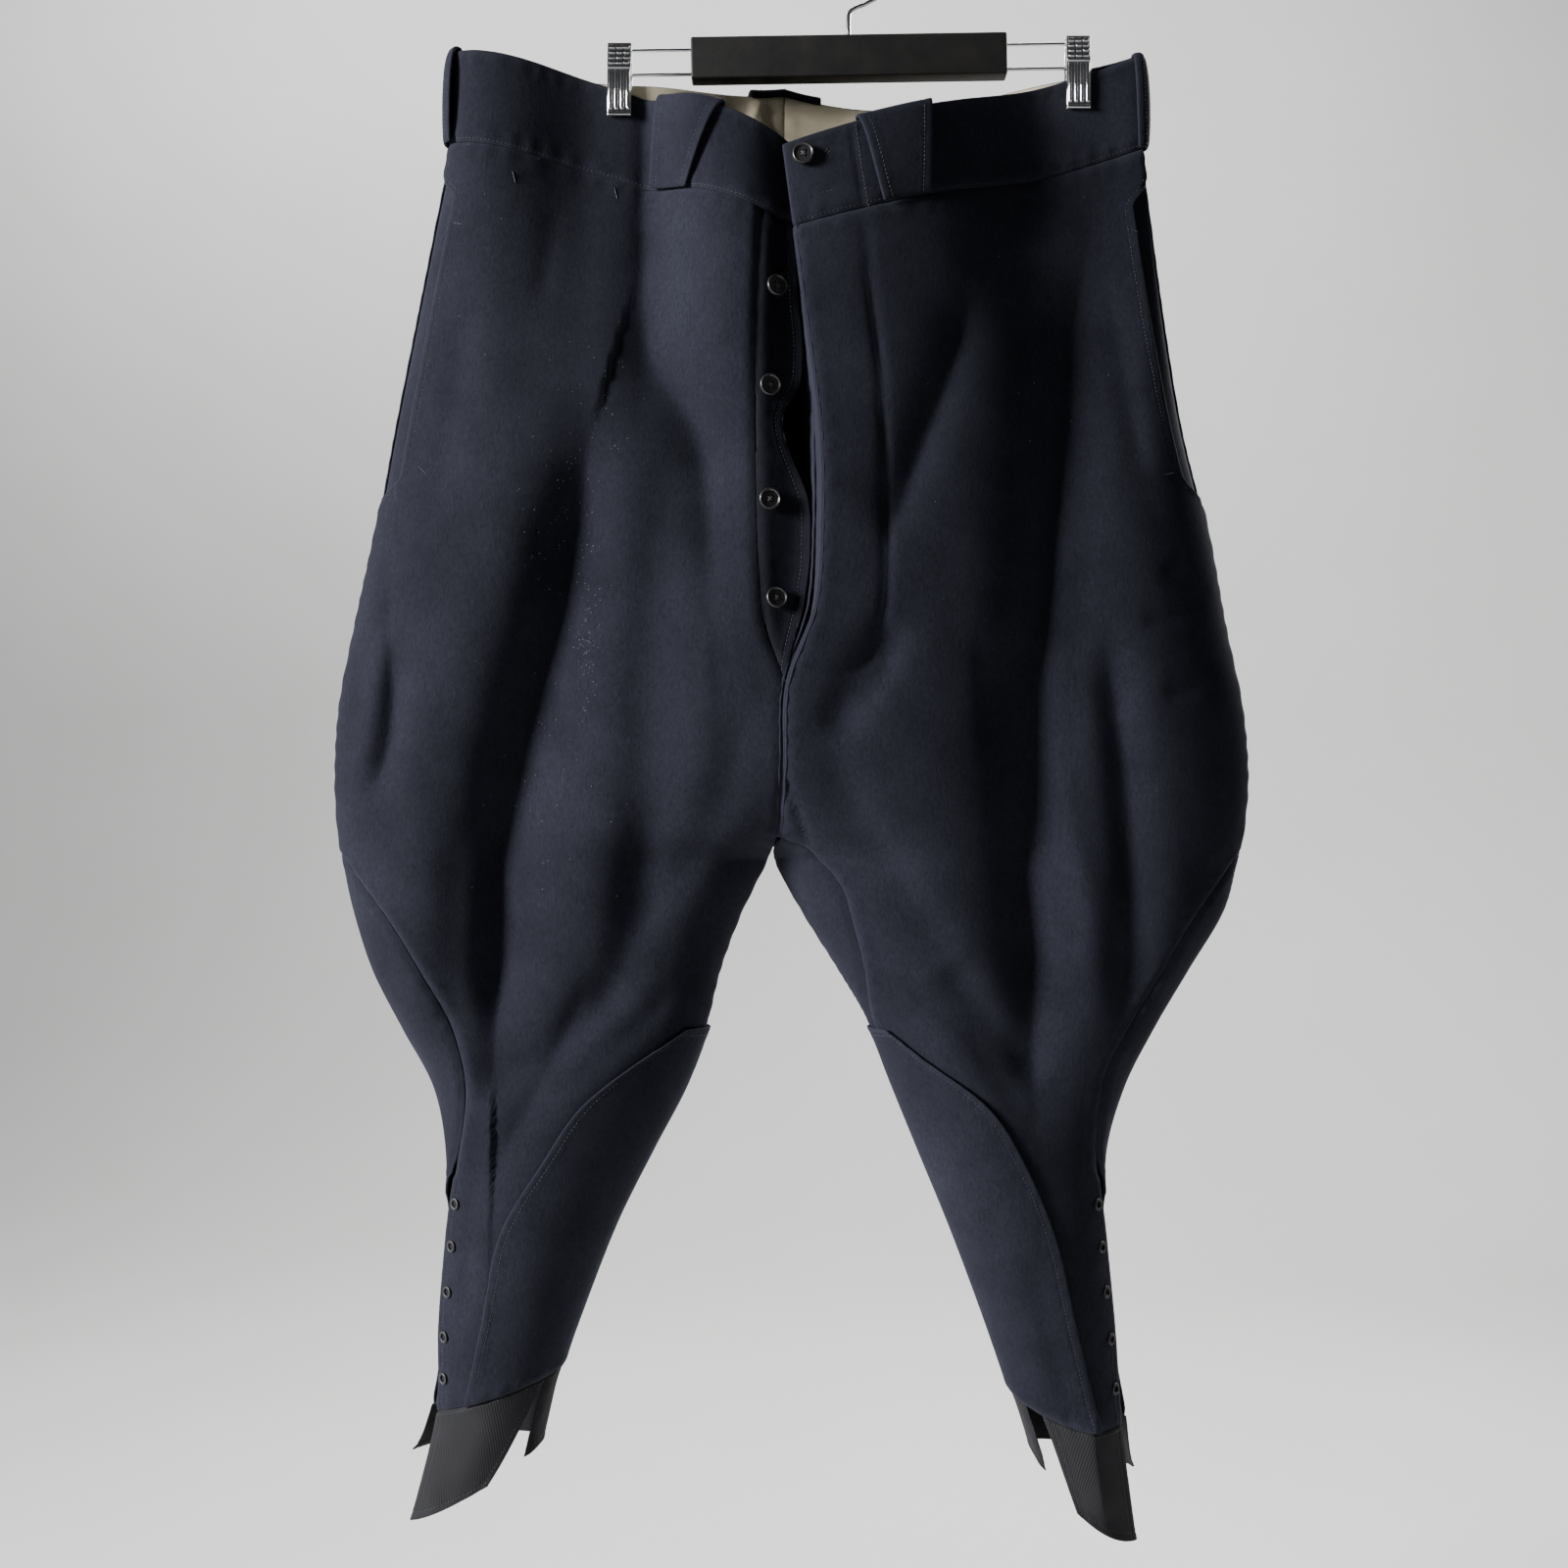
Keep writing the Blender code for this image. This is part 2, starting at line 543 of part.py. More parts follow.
def turned(name, profile, place, out, finish_material, segments=16):
    """A round piece turned from (radius, height) points about the direction out."""
    bm = bmesh.new()
    points = [bm.verts.new((r, 0, h)) for r, h in profile]
    edges = [bm.edges.new(pair) for pair in zip(points, points[1:])]
    closed = profile[0][0] > 1e-6
    if closed:
        edges.append(bm.edges.new((points[-1], points[0])))
    bmesh.ops.spin(bm, geom=points + edges, axis=(0, 0, 1), cent=(0, 0, 0), angle=2 * math.pi, steps=segments,
                   use_merge=True)
    bmesh.ops.transform(bm, matrix=Matrix.Translation(place) @ out.to_track_quat("Z", "Y").to_matrix().to_4x4(),
                        verts=bm.verts)
    return finish(name, bm, finish_material)


# Each button: its name, leg, row and x
BUTTONS = (
    ("button_waist", LEFT, 0.28, -31.0),
    ("button_fly_1", RIGHT, 2.1, -49.0),
    ("button_fly_2", RIGHT, 3.4, -53.0),
    ("button_fly_3", RIGHT, 4.75, -53.0),
    ("button_fly_4", RIGHT, 5.9, -48.8),
)
# A button's section, as shares of its radius and of its thickness: a raised rim and a dished middle
BUTTON_SECTION = ((0, 0), (0.6, 0), (0.93, 0.35), (1, 0.6), (0.92, 0.93), (0.78, 1), (0.58, 0.6), (0, 0.55))
EYELET_ROWS = np.linspace(15.55, 17.63, 5)
EYELET_PLACES = {"front": 0.85, "back": -0.87}


def buttons(plastic):
    profile = [(0.5 * BUTTON_ACROSS * r, BUTTON_THICK * h) for r, h in BUTTON_SECTION]
    for name, leg, s, x in BUTTONS:
        place, out = facing(leg, s, leg.a_at(s, x))
        turned(name, profile, place + out * BUTTON_LIFT, out, plastic)


def eyelets(metal):
    """Pressed rings along both edges of the slit."""
    hole, rim = 0.5 * EYELET_HOLE, 0.5 * EYELET_ACROSS
    profile = ((hole, 0), (rim, 0), (0.5 * (hole + rim), EYELET_THICK))
    for leg in LEGS:
        for k, s in enumerate(EYELET_ROWS):
            for edge, a in EYELET_PLACES.items():
                place, out = facing(leg, s, a)
                turned(f"eyelet_{edge}_{leg.name}_{k + 1}", profile, place + out * EYELET_LIFT, out, metal, 8)


def block(name, corners, low, high, finish_material, bevel=0.0):
    """A prism of an outline in the (y, z) plane, from x low to x high."""
    bm = bmesh.new()
    face = bm.faces.new([bm.verts.new((low, y, z)) for y, z in corners])
    out = bmesh.ops.extrude_face_region(bm, geom=[face])
    far = [v for v in out["geom"] if isinstance(v, bmesh.types.BMVert)]
    bmesh.ops.translate(bm, vec=(high - low, 0, 0), verts=far)
    if bevel:
        bmesh.ops.bevel(bm, geom=bm.edges[:], offset=bevel, segments=2, profile=0.5, affect="EDGES")
    return finish(name, bm, finish_material)


def wire(name, points, across, finish_material):
    """A round wire along a line of points, with closed ends."""
    data = bpy.data.curves.new(name, "CURVE")
    data.dimensions = "3D"
    data.bevel_depth = 0.5 * across * MM
    data.bevel_resolution = 2
    data.use_fill_caps = True
    spline = data.splines.new("POLY")
    spline.points.add(len(points) - 1)
    for target, place in zip(spline.points, points):
        target.co = (*[c * MM for c in place], 1)
    data.materials.append(finish_material)
    made = bpy.data.objects.new(name, data)
    bpy.context.collection.objects.link(made)
    return made


BAR_LONG = 212.0
BAR_HIGH = 28.0
BAR_DEEP = 13.0
BAR_Z = -86.0
BAR_EDGE = 1.0
BAR_TILT = math.radians(0.9)
RAIL_ACROSS = 2.4
RAIL_RISE = 8.2
RAIL_DROP = 0.5
RAIL_START = 0.5 * BAR_LONG + 0.6
RAIL_END = CLIP_X + 3.0
HOOK_ACROSS = 3.0
HOOK_RADIUS = 27.0
HOOK_TURN = (138.0, -100.0)
# The bend between the hook's upright stem and its round part: x, and z from the round part's lowest point
HOOK_BEND = ((0.0, -4.0), (4.0, 0.5), (11.0, 3.2))
CLIP_WIDE = 16.0
CLIP_NECK = 19.5
CLIP_SHOULDER = 22.0
CLIP_SWELL = 17.0
JAW_THICK = 2.2
JAW_CLEAR = 0.35


def hanger(black, chrome):
    y, z = 0.5 * BAR_DEEP, 0.5 * BAR_HIGH
    bar = block("hanger_bar", [(-y, -z), (y, -z), (y, z), (-y, z)], -0.5 * BAR_LONG, 0.5 * BAR_LONG, black,
                BAR_EDGE)
    bar.data.transform(Matrix.Translation((0, 0, BAR_Z * MM)) @ Matrix.Rotation(-BAR_TILT, 4, "Y"))
    for name, way in (("right", -1), ("left", 1)):
        turn = [(RAIL_END + RAIL_RISE * 0.5 * math.sin(q), RAIL_RISE * math.cos(q))
                for q in np.linspace(0, math.pi, 9)]
        path = [(RAIL_START, RAIL_RISE)] + turn + [(RAIL_START, -RAIL_RISE)]
        rise = way * math.tan(BAR_TILT)
        wire("hanger_rail_" + name, [(way * x, 0, BAR_Z - RAIL_DROP + z + x * rise) for x, z in path],
             RAIL_ACROSS, chrome)
    lowest = -2 * HOOK_RADIUS
    stem = [(0, BAR_Z + 0.5 * BAR_HIGH + GAP - 0.5 * HOOK_ACROSS)]
    stem += [(x, lowest + z) for x, z in HOOK_BEND]
    arc = [(HOOK_RADIUS * math.sin(q), HOOK_RADIUS * (math.cos(q) - 1))
           for q in np.linspace(*np.radians(HOOK_TURN), 22)]
    line = list(smooth_line(stem, 7))[:-1] + arc
    wire("hanger_hook", [(x, 0, z + 0.5 * HOOK_ACROSS) for x, z in line], HOOK_ACROSS, chrome)


def clips(chrome):
    """Two sprung jaws a clip: the upper third closes on the rails, the lower part on the cloth."""
    wide = 0.5 * RAIL_ACROSS + GAP + 0.1
    held = PINCH + JAW_CLEAR
    for name, way in (("right", -1), ("left", 1)):
        top = CLIP_TOP + way * CLIP_X * math.tan(BAR_TILT)
        outline = ((wide, 0), (wide + 0.7 * JAW_THICK, -0.4), (held + 1.2 * JAW_THICK, CLIP_SWELL),
                   (held + JAW_THICK, CLIP_LONG), (held, CLIP_LONG), (held, CLIP_SHOULDER), (wide, CLIP_NECK))
        for jaw, turn in (("front", -1), ("back", 1)):
            block(f"clip_{jaw}_{name}", [(turn * y, top - drop) for y, drop in outline],
                  way * CLIP_X - 0.5 * CLIP_WIDE, way * CLIP_X + 0.5 * CLIP_WIDE, chrome)


def build():
    clear()
    wool = material("wool", (0.018, 0.019, 0.027), 0.95)
    cotton = material("grey_cotton", (0.032, 0.032, 0.036), 0.9)
    lining = material("lining", (0.52, 0.46, 0.33), 0.9)
    plastic = material("button_plastic", (0.01, 0.01, 0.011), 0.25)
    metal = material("eyelet_metal", (0.03, 0.03, 0.035), 0.4, 0.6)
    black = material("hanger_black", (0.012, 0.012, 0.012), 0.35)
    chrome = material("chrome", (0.8, 0.8, 0.82), 0.12, 1.0)
    panels(wool)
    continuations(cotton)
    waistband(wool)
    waist_lining(lining)
    belt_loops(wool)
    fly(wool, cotton)
    knee_patches(wool)
    pocket_facings(wool)
    buttons(plastic)
    eyelets(metal)
    hanger(black, chrome)
    clips(chrome)


build()
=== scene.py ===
"""Military breeches of dark navy wool, hung from a bar hanger by two spring clips, as they look.

Metres, +Z up, the front faces -Y, the origin is the inner top of the hanger's hook. Sizes and tables are in
millimetres and are made metres by MM. Right and left are the wearer's, so the right leg lies at -X.
"""

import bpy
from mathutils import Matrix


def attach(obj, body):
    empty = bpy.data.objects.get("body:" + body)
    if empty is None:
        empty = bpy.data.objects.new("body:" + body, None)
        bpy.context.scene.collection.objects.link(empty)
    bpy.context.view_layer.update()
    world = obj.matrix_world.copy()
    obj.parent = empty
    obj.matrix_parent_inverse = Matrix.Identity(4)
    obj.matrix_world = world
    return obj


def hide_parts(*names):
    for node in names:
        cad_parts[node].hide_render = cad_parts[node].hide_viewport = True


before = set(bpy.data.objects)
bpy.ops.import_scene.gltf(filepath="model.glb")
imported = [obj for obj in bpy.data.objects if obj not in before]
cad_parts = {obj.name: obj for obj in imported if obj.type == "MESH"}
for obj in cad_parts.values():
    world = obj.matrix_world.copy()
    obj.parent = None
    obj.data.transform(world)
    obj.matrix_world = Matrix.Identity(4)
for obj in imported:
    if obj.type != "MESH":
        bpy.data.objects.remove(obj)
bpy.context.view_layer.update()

import math

import bpy
import numpy as np
from mathutils import Matrix, Vector

# Fronts and backs. Each leg is a front and a back of heavy melton, a wool cloth milled and brushed to a short
# nap. They are seamed down the outside and the inside of the leg, and hang open from the clips, so the
# cloth falls into long troughs below them.
MM = 0.001
WOOL = 1.8  # how thick the melton is
SEAM = 0.2  # half the gap between two sewn pieces
STITCHED = 5.2  # from a turned edge to its line of stitches

# Rows of the section table at which the pieces begin and end.
WAIST_SEAM = 1.0
FLY_END = 7.0
SLIT_TOP = 15.0
CUFF_SEAM = 18.0
HEM = 19.0

# The clips press front and back together: where they are, how close the two come, and how far the press
# reaches sideways past a clip's edge and downwards from the band.
CLIP_X = 154.0
CLIP_HALF = 8.5
PINCH = 3.3
PINCH_EDGE = 6.0
PINCH_SPREAD = 62.0
PINCH_TUCK = 28.0
PINCH_REACH = 150.0
PINCH_FULL = -130.0

# How full a section is between the centre and the outseam, and how its points are spread over the width.
OUTLINE_POWER = 2.4
OUTLINE_ROUND = 0.55
SPREAD = 0.35

# The continuation's back is shorter and flares out at its seam, and the left front stands off along the fly.
SHORT_BACK = 44.0
FLAP = 5.0
FLAP_ROWS = 0.5
FLY_RIM = 60.0

# One row a section, from the band's top edge to the hem: the outseam, the centre front, the centre back, how
# deep the front and the back stand from the middle plane, how open the section is at the centre, how far the
# inseam is turned to the front, and how much the row hangs between its ends in front and behind.
COLUMNS = ("out_x", "out_z", "front_x", "front_z", "back_x", "back_z", "front", "back",
           "open", "wrap", "front_sag", "back_sag")
RIGHT_LEG = (
    (-267, -84, -22, -165, -44, -97, 46, 34, 1.0, 0.00, 13, -12),
    (-270, -145, -22, -216, -44, -159, 50, 36, 1.0, 0.00, 8, -10),
    (-281, -205, -22, -256, -44, -215, 55, 40, 1.0, 0.00, 4, -6),
    (-294, -271, -22, -302, -44, -277, 59, 44, 1.0, 0.00, 2, -3),
    (-307, -337, -22, -352, -44, -339, 61, 47, 1.0, 0.00, 0, 0),
    (-319, -403, -22, -405, -44, -403, 62, 50, 1.0, 0.00, 0, 0),
    (-333, -469, -26, -460, -44, -465, 62, 51, 1.0, 0.00, 0, 0),
    (-343, -521, -42.4, -510, -44, -516, 60, 50, 1.0, 0.00, 0, 0),
    (-346, -568, -44.3, -560, -44.5, -562, 59, 50, 0.90, 0.00, 0, 0),
    (-344, -607, -47, -600, -47, -602, 60, 50, 0.42, 0.00, 0, 0),
    (-340, -628, -53.5, -624, -53.5, -624, 62, 50, 0.0, 0.00, 0, 0),
    (-333, -660, -71, -660, -71, -660, 62, 50, 0.0, 0.00, 0, 0),
    (-320, -700, -85, -697, -85, -697, 60, 49, 0.0, 0.00, 0, 0),
    (-300, -739, -95, -736, -95, -736, 56, 47, 0.0, 0.00, 0, 0),
    (-279, -779, -110, -776, -110, -776, 51, 44, 0.0, 0.00, 0, 0),
    (-271, -825, -132, -818, -132, -818, 46, 41, 0.0, 0.00, 0, 0),
    (-273, -878, -156, -866, -156, -866, 41, 38, 0.0, 0.00, 0, 0),
    (-277, -937, -177, -919, -177, -919, 36, 34, 0.0, 0.04, 0, 0),
    (-279, -994, -193, -965, -193, -965, 31, 30, 0.0, 0.16, 0, 0),
    (-297, -1068, -205, -1015, -205, -1015, 28, 27, 0.0, 0.20, -3, 0),
)
LEFT_LEG = (
    (196, -86, -45, -163, -44, -97, 46, 34, 1.0, 0.00, 0, -17),
    (199, -147, -38, -217, -44, -159, 50, 36, 1.0, 0.00, -2, -14),
    (206, -205, -33, -258, -44, -215, 55, 40, 1.0, 0.00, 0, -3),
    (215, -271, -27, -302, -44, -277, 59, 44, 1.0, 0.00, 0, -2),
    (226, -337, -21, -352, -44, -339, 61, 47, 1.0, 0.00, 0, 0),
    (242, -403, -20, -405, -44, -403, 62, 50, 1.0, 0.00, 0, 0),
    (254, -469, -24, -460, -44, -465, 62, 51, 1.0, 0.00, 0, 0),
    (265, -521, -42.0, -510, -44, -516, 60, 50, 1.0, 0.00, 0, 0),
    (269, -568, -43.9, -560, -44.1, -562, 59, 50, 0.90, 0.00, 0, 0),
    (266, -607, -46.6, -600, -46.6, -602, 60, 50, 0.42, 0.00, 0, 0),
    (261, -628, -50.5, -624, -50.5, -624, 62, 50, 0.0, 0.03, 0, 0),
    (252, -660, -32, -660, -32, -660, 62, 50, 0.0, 0.17, 0, 0),
    (228, -700, -7, -700, -7, -700, 60, 49, 0.0, 0.14, 0, 0),
    (205, -739, 14, -736, 14, -736, 56, 47, 0.0, 0.03, 0, 0),
    (185, -779, 30, -776, 30, -776, 51, 44, 0.0, 0.00, 0, 0),
    (173, -825, 48, -820, 48, -820, 46, 41, 0.0, 0.00, 0, 0),
    (175, -878, 69, -871, 69, -871, 41, 38, 0.0, 0.00, 0, 0),
    (180, -937, 90, -927, 90, -927, 36, 34, 0.0, 0.04, 0, 0),
    (185, -1002, 109, -982, 109, -982, 31, 30, 0.0, 0.16, -6, 4),
    (195, -1080, 121, -1019, 121, -1019, 28, 27, 0.0, 0.20, -13, 0),
)

# Each fold is a trough (a ridge where the depth is negative) along a line of (x, z) points: the width of its
# slope towards -x and towards +x, its depth, and how rounded its bottom is, from 1.2 (sharp) to 2 (round).
RIGHT_FRONT_FOLDS = (
    (((-167, -345), (-181, -403), (-191, -456), (-210, -523), (-229, -604), (-232, -671), (-234, -769)),
     23, 62, 30, 1.3),
    (((-141, -100), (-138, -190), (-131, -292), (-96, -357), (-90, -470)), 20, 40, 16, 1.5),
    (((-30, -110), (-30, -200), (-30, -300), (-30, -400), (-36, -500)), 25, 25, 15, 2.0),
    (((-112, -330), (-128, -480), (-132, -600), (-150, -690)), 20, 24, 7, 2.0),
    (((-306, -439), (-300, -522), (-309, -568), (-323, -583)), 8, 12, 5, 1.5),
    (((-298, -461), (-311, -508), (-320, -550), (-331, -572)), 10, 10, -4, 2.0),
    (((-150, -700), (-190, -745), (-245, -775)), 16, 14, 5, 2.0),
    (((-170, -701), (-195, -757), (-220, -802), (-239, -846)), 9, 14, 2.6, 1.7),
    (((-113, -707), (-145, -738), (-195, -776)), 10, 8, 1.6, 2.0),
    (((-69, -524), (-81, -574), (-107, -625), (-145, -675)), 14, 12, 2.2, 2.0),
    (((-195, -189), (-198, -220), (-203, -258)), 8, 7, 1.8, 2.0),
    (((-252, -258), (-263, -334), (-271, -397)), 14, 12, 2.0, 2.0),
    (((-132, -593), (-145, -675), (-164, -732)), 12, 16, 3.0, 2.0),
    (((-255, -600), (-262, -680), (-262, -760)), 16, 12, 3.0, 2.0),
    (((-240, -800), (-250, -860), (-256, -930)), 8, 9, 1.6, 1.8),
)
LEFT_FRONT_FOLDS = (
    (((166, -175), (152, -261), (133, -370), (127, -453), (119, -509), (119, -590), (114, -631), (119, -684),
      (121, -800)), 30, 36, 24, 1.35),
    (((76, -262), (70, -286), (59, -318), (39, -370), (22, -418)), 16, 13, 7, 1.3),
    (((167, -480), (179, -580), (183, -660), (179, -735)), 14, 16, 9, 1.6),
    (((30, -470), (10, -500), (-15, -545)), 14, 14, 5, 2.0),
    (((205, -430), (238, -455)), 10, 12, 1.6, 2.0),
    (((60, -690), (95, -740), (130, -768)), 14, 14, 5, 2.0),
    (((82, -485), (89, -536), (97, -590), (103, -644), (111, -711)), 4, 9, 3.2, 1.3),
    (((143, -388), (133, -523), (138, -577), (154, -658), (159, -711)), 10, 10, -2.4, 2.0),
    (((189, -469), (212, -466), (235, -458)), 4, 7, 1.4, 1.6),
    (((203, -517), (225, -511), (243, -498)), 5, 7, 1.4, 1.6),
    (((23, -486), (20, -505), (7, -524)), 6, 8, 2.0, 1.6),
    (((-12, -549), (7, -599), (39, -650), (70, -688)), 16, 12, 2.6, 2.0),
    (((39, -707), (76, -738), (114, -795)), 9, 9, 1.8, 2.0),
    (((178, -258), (184, -321), (191, -372)), 12, 9, 2.4, 2.0),
    (((118, -880), (132, -940), (146, -990)), 10, 8, 1.6, 2.0),
)
CONTINUATION_FOLDS = (
    (((159, -985), (162, -1020), (168, -1062)), 11, 10, -4.5, 1.4),
    (((-250, -985), (-262, -1015), (-275, -1050)), 14, 12, 1.6, 2.0),
)
RIGHT_BACK_FOLDS = (
    (((-152, -190), (-165, -300), (-190, -420), (-205, -560), (-200, -700)), 18, 22, 13, 1.7),
    (((-90, -480), (-130, -560), (-190, -620)), 16, 18, 9, 1.8),
    (((-250, -420), (-285, -520), (-270, -640)), 16, 16, 7, 1.8),
    (((-130, -730), (-190, -765), (-250, -770)), 15, 15, 6, 2.0),
    (((-75, -300), (-100, -400), (-112, -520)), 16, 20, 6, 1.7),
    (((-60, -560), (-90, -600), (-140, -628)), 8, 12, 2.8, 1.6),
    (((-225, -250), (-240, -330), (-250, -400)), 14, 12, 2.6, 2.0),
    (((-160, -820), (-205, -845), (-250, -835)), 9, 9, 2.0, 2.0),
)
LEFT_BACK_FOLDS = (
    (((152, -190), (140, -300), (118, -430), (125, -560), (140, -690)), 20, 20, 13, 1.7),
    (((0, -480), (35, -560), (95, -625)), 16, 18, 9, 1.8),
    (((180, -420), (214, -520), (200, -640)), 16, 16, 7, 1.8),
    (((50, -740), (105, -775), (160, -775)), 15, 15, 6, 2.0),
    (((15, -290), (30, -400), (22, -500)), 16, 18, 6, 1.7),
    (((-28, -565), (20, -612), (70, -640)), 8, 12, 2.8, 1.6),
    (((70, -250), (78, -340), (70, -440)), 14, 14, 2.4, 2.0),
    (((70, -840), (110, -862), (150, -850)), 9, 9, 2.0, 2.0),
)


def smooth_table(table, s):
    """Values of a table at row numbers s, on a smooth curve through its rows, straight on above the first."""
    rows = np.array(table, dtype=float)
    last = len(rows) - 1
    above = np.minimum(s, 0)[..., None]
    s = np.clip(np.asarray(s, dtype=float), 0, last)
    at = np.minimum(s.astype(int), last - 1)
    f = (s - at)[..., None]
    a, b, c, d = (rows[np.clip(at + k, 0, last)] for k in (-1, 0, 1, 2))
    curve = 2 * b + (c - a) * f + (2 * a - 5 * b + 4 * c - d) * f ** 2 + (3 * b - a - 3 * c + d) * f ** 3
    return 0.5 * curve + above * (rows[1] - rows[0])


def smooth_line(points, count=25):
    """Points along a smooth curve through the given ones."""
    return smooth_table(points, np.linspace(0, len(points) - 1, count))


def step(value, start, end):
    """0 before start, 1 after end, smooth between."""
    f = np.clip((value - start) / (end - start), 0, 1)
    return f * f * (3 - 2 * f)


def fold_depth(folds, x, z):
    """How far the folds push the cloth in at each (x, z)."""
    total = np.zeros_like(x)
    for line, before, after, depth, power in folds:
        path = smooth_line(line)
        lengths = np.linalg.norm(np.diff(path, axis=0), axis=1)
        along = np.concatenate([[0], np.cumsum(lengths)])
        best = np.full_like(x, 1e9)
        side = np.zeros_like(x)
        where = np.zeros_like(x)
        for i, length in enumerate(lengths):
            ux, uz = (path[i + 1] - path[i]) / length
            dx = x - path[i, 0]
            dz = z - path[i, 1]
            f = np.clip(dx * ux + dz * uz, 0, length)
            away = np.hypot(dx - f * ux, dz - f * uz)
            closer = away < best
            best = np.where(closer, away, best)
            side = np.where(closer, dx * uz - dz * ux, side)
            where = np.where(closer, (along[i] + f) / along[-1], where)
        slope = np.where(side < 0, after, before)
        fade = step(where, -0.08, 0.18) * (1 - step(where, 0.8, 1.08))
        total += depth * fade * np.exp(-(best / slope) ** power)
    return total


def unevenness(x, z):
    """The slight swells that a hanging cloth has all over, in millimetres."""
    wide = np.sin(x / 23 + 1.7 * np.sin(z / 61)) * np.sin(z / 47 + 0.8 * np.sin(x / 39))
    small = np.sin(x / 7.3 + z / 15.1 + np.sin(z / 33)) * np.sin(z / 19.7 - x / 31)
    return 0.6 * wide + 0.16 * small


class Leg:
    """Half of the breeches as a surface over (s, a).

    s is the row of the section table. a runs over the front from the centre (0) to the outseam (1), and on
    over the back to the centre (2, which is also 0).
    """

    def __init__(self, name, table, front_folds, back_folds, outward, fly_lift, tuck):
        self.name = name
        self.table = table
        self.front_folds = front_folds
        self.back_folds = back_folds
        self.outward = outward
        self.fly_lift = fly_lift
        self.tuck = tuck

    def row(self, s):
        """The section table's values at row s, by name."""
        return dict(zip(COLUMNS, np.moveaxis(smooth_table(self.table, s), -1, 0)))

    def across(self, t, opened):
        """Share of the way from the centre to the outseam, with more points at a rounded edge."""
        half = SPREAD * t + (1 - SPREAD) * np.sin(0.5 * np.pi * t)
        whole = 0.25 * t + 0.75 * 0.5 * (1 - np.cos(np.pi * t))
        return opened * half + (1 - opened) * whole

    def a_at(self, s, x):
        """The place on the front at which row s reaches x."""
        row = self.row(np.float64(s))
        t = np.linspace(0, 1, 400)
        wanted = (x - row["front_x"]) / (row["out_x"] - row["front_x"])
        return float(np.interp(wanted, self.across(t, row["open"]), t))

    def place(self, line, side="front"):
        """The (s, a) of points given as (x, z) on the front or the back."""
        x, z = np.array(line, float).T
        low, high = np.full_like(x, -0.3), np.full_like(x, HEM)
        for _ in range(30):
            s = 0.5 * (low + high)
            row = self.row(s)
            in_x, in_z, sag = (row[side + end] for end in ("_x", "_z", "_sag"))
            g = np.clip((x - in_x) / (row["out_x"] - in_x), 0, 1)
            above = in_z + (row["out_z"] - in_z) * g + sag * 4 * g * (1 - g) > z
            low, high = np.where(above, s, low), np.where(above, high, s)
        t = np.linspace(0, 1, 400)
        a = np.array([np.interp(v, self.across(t, o), t) for v, o in zip(g, np.clip(row["open"], 0, 1))])
        return s, a if side == "front" else -a

    def point(self, s, a):
        """The cloth's outer face, in millimetres."""
        s, a = np.broadcast_arrays(np.asarray(s, float), np.asarray(a, float))
        a = np.where(a > 1, a - 2, np.where(a < -1, a + 2, a))
        row = self.row(s)
        opened = np.clip(row["open"], 0, 1)
        front = a >= 0
        behind = np.where(front, 0, 1)
        g = self.across(np.abs(a), opened)
        inner_x = np.where(front, row["front_x"], row["back_x"])
        inner_z = np.where(front, row["front_z"], row["back_z"])
        sag = np.where(front, row["front_sag"], row["back_sag"])
        x = inner_x + (row["out_x"] - inner_x) * g
        z = inner_z + (row["out_z"] - inner_z) * g + sag * 4 * g * (1 - g)
        z = z + behind * SHORT_BACK * np.maximum(s - CUFF_SEAM, 0) * g
        x = x - self.outward * behind * FLAP * np.exp(-((s - CUFF_SEAM) / FLAP_ROWS) ** 2) * g ** 8
        outer = np.maximum(1 - g ** OUTLINE_POWER, 0) ** OUTLINE_ROUND
        inner = np.maximum(1 - (1 - opened) * (1 - g) ** OUTLINE_POWER, 0) ** OUTLINE_ROUND
        deep = np.where(front, row["front"], row["back"]) * outer * inner
        clip = np.maximum(np.abs(np.abs(x) - CLIP_X) - CLIP_HALF - PINCH_EDGE, 0)
        below = np.maximum(PINCH_FULL - z, 0)
        spread = np.where(front & (np.abs(x) < CLIP_X), self.tuck, PINCH_SPREAD)
        held = np.exp(-(clip / spread) ** 2 - (below / PINCH_REACH) ** 2)
        deep = deep * (1 - held) + np.minimum(PINCH, deep) * held
        folds = np.where(front, fold_depth(self.front_folds, x, z), fold_depth(self.back_folds, x, z))
        free = (1 - held) * np.minimum(1, outer * inner / 0.55)
        deep = deep + (unevenness(x, z + 400 * behind) - folds) * free
        lift = self.fly_lift * (1 - step(s, 6.0, FLY_END)) * np.exp(-((x - inner_x) / FLY_RIM) ** 2)
        deep = deep + np.where(front, lift, 0)
        return np.stack([x, np.where(front, -deep, deep), z], axis=-1)

    def net(self, rows, columns):
        """Points and outward directions on a net of rows, each with the places that columns(s) gives."""
        a = np.array([columns(v) for v in rows])
        points = self.point(np.repeat(np.asarray(rows, float)[:, None], a.shape[1], axis=1), a)
        facing = self.outward * np.sign(rows[-1] - rows[0]) * np.sign(a[0, 1] - a[0, 0])
        return points, facing * directions(points)

    def face(self, s, a):
        """Points and outward directions at single places."""
        e = 0.003
        across = self.point(s, a + e) - self.point(s, a - e)
        down = self.point(s + 4 * e, a) - self.point(s - 4 * e, a)
        n = self.outward * np.cross(across, down)
        return self.point(s, a), n / np.linalg.norm(n, axis=-1, keepdims=True)


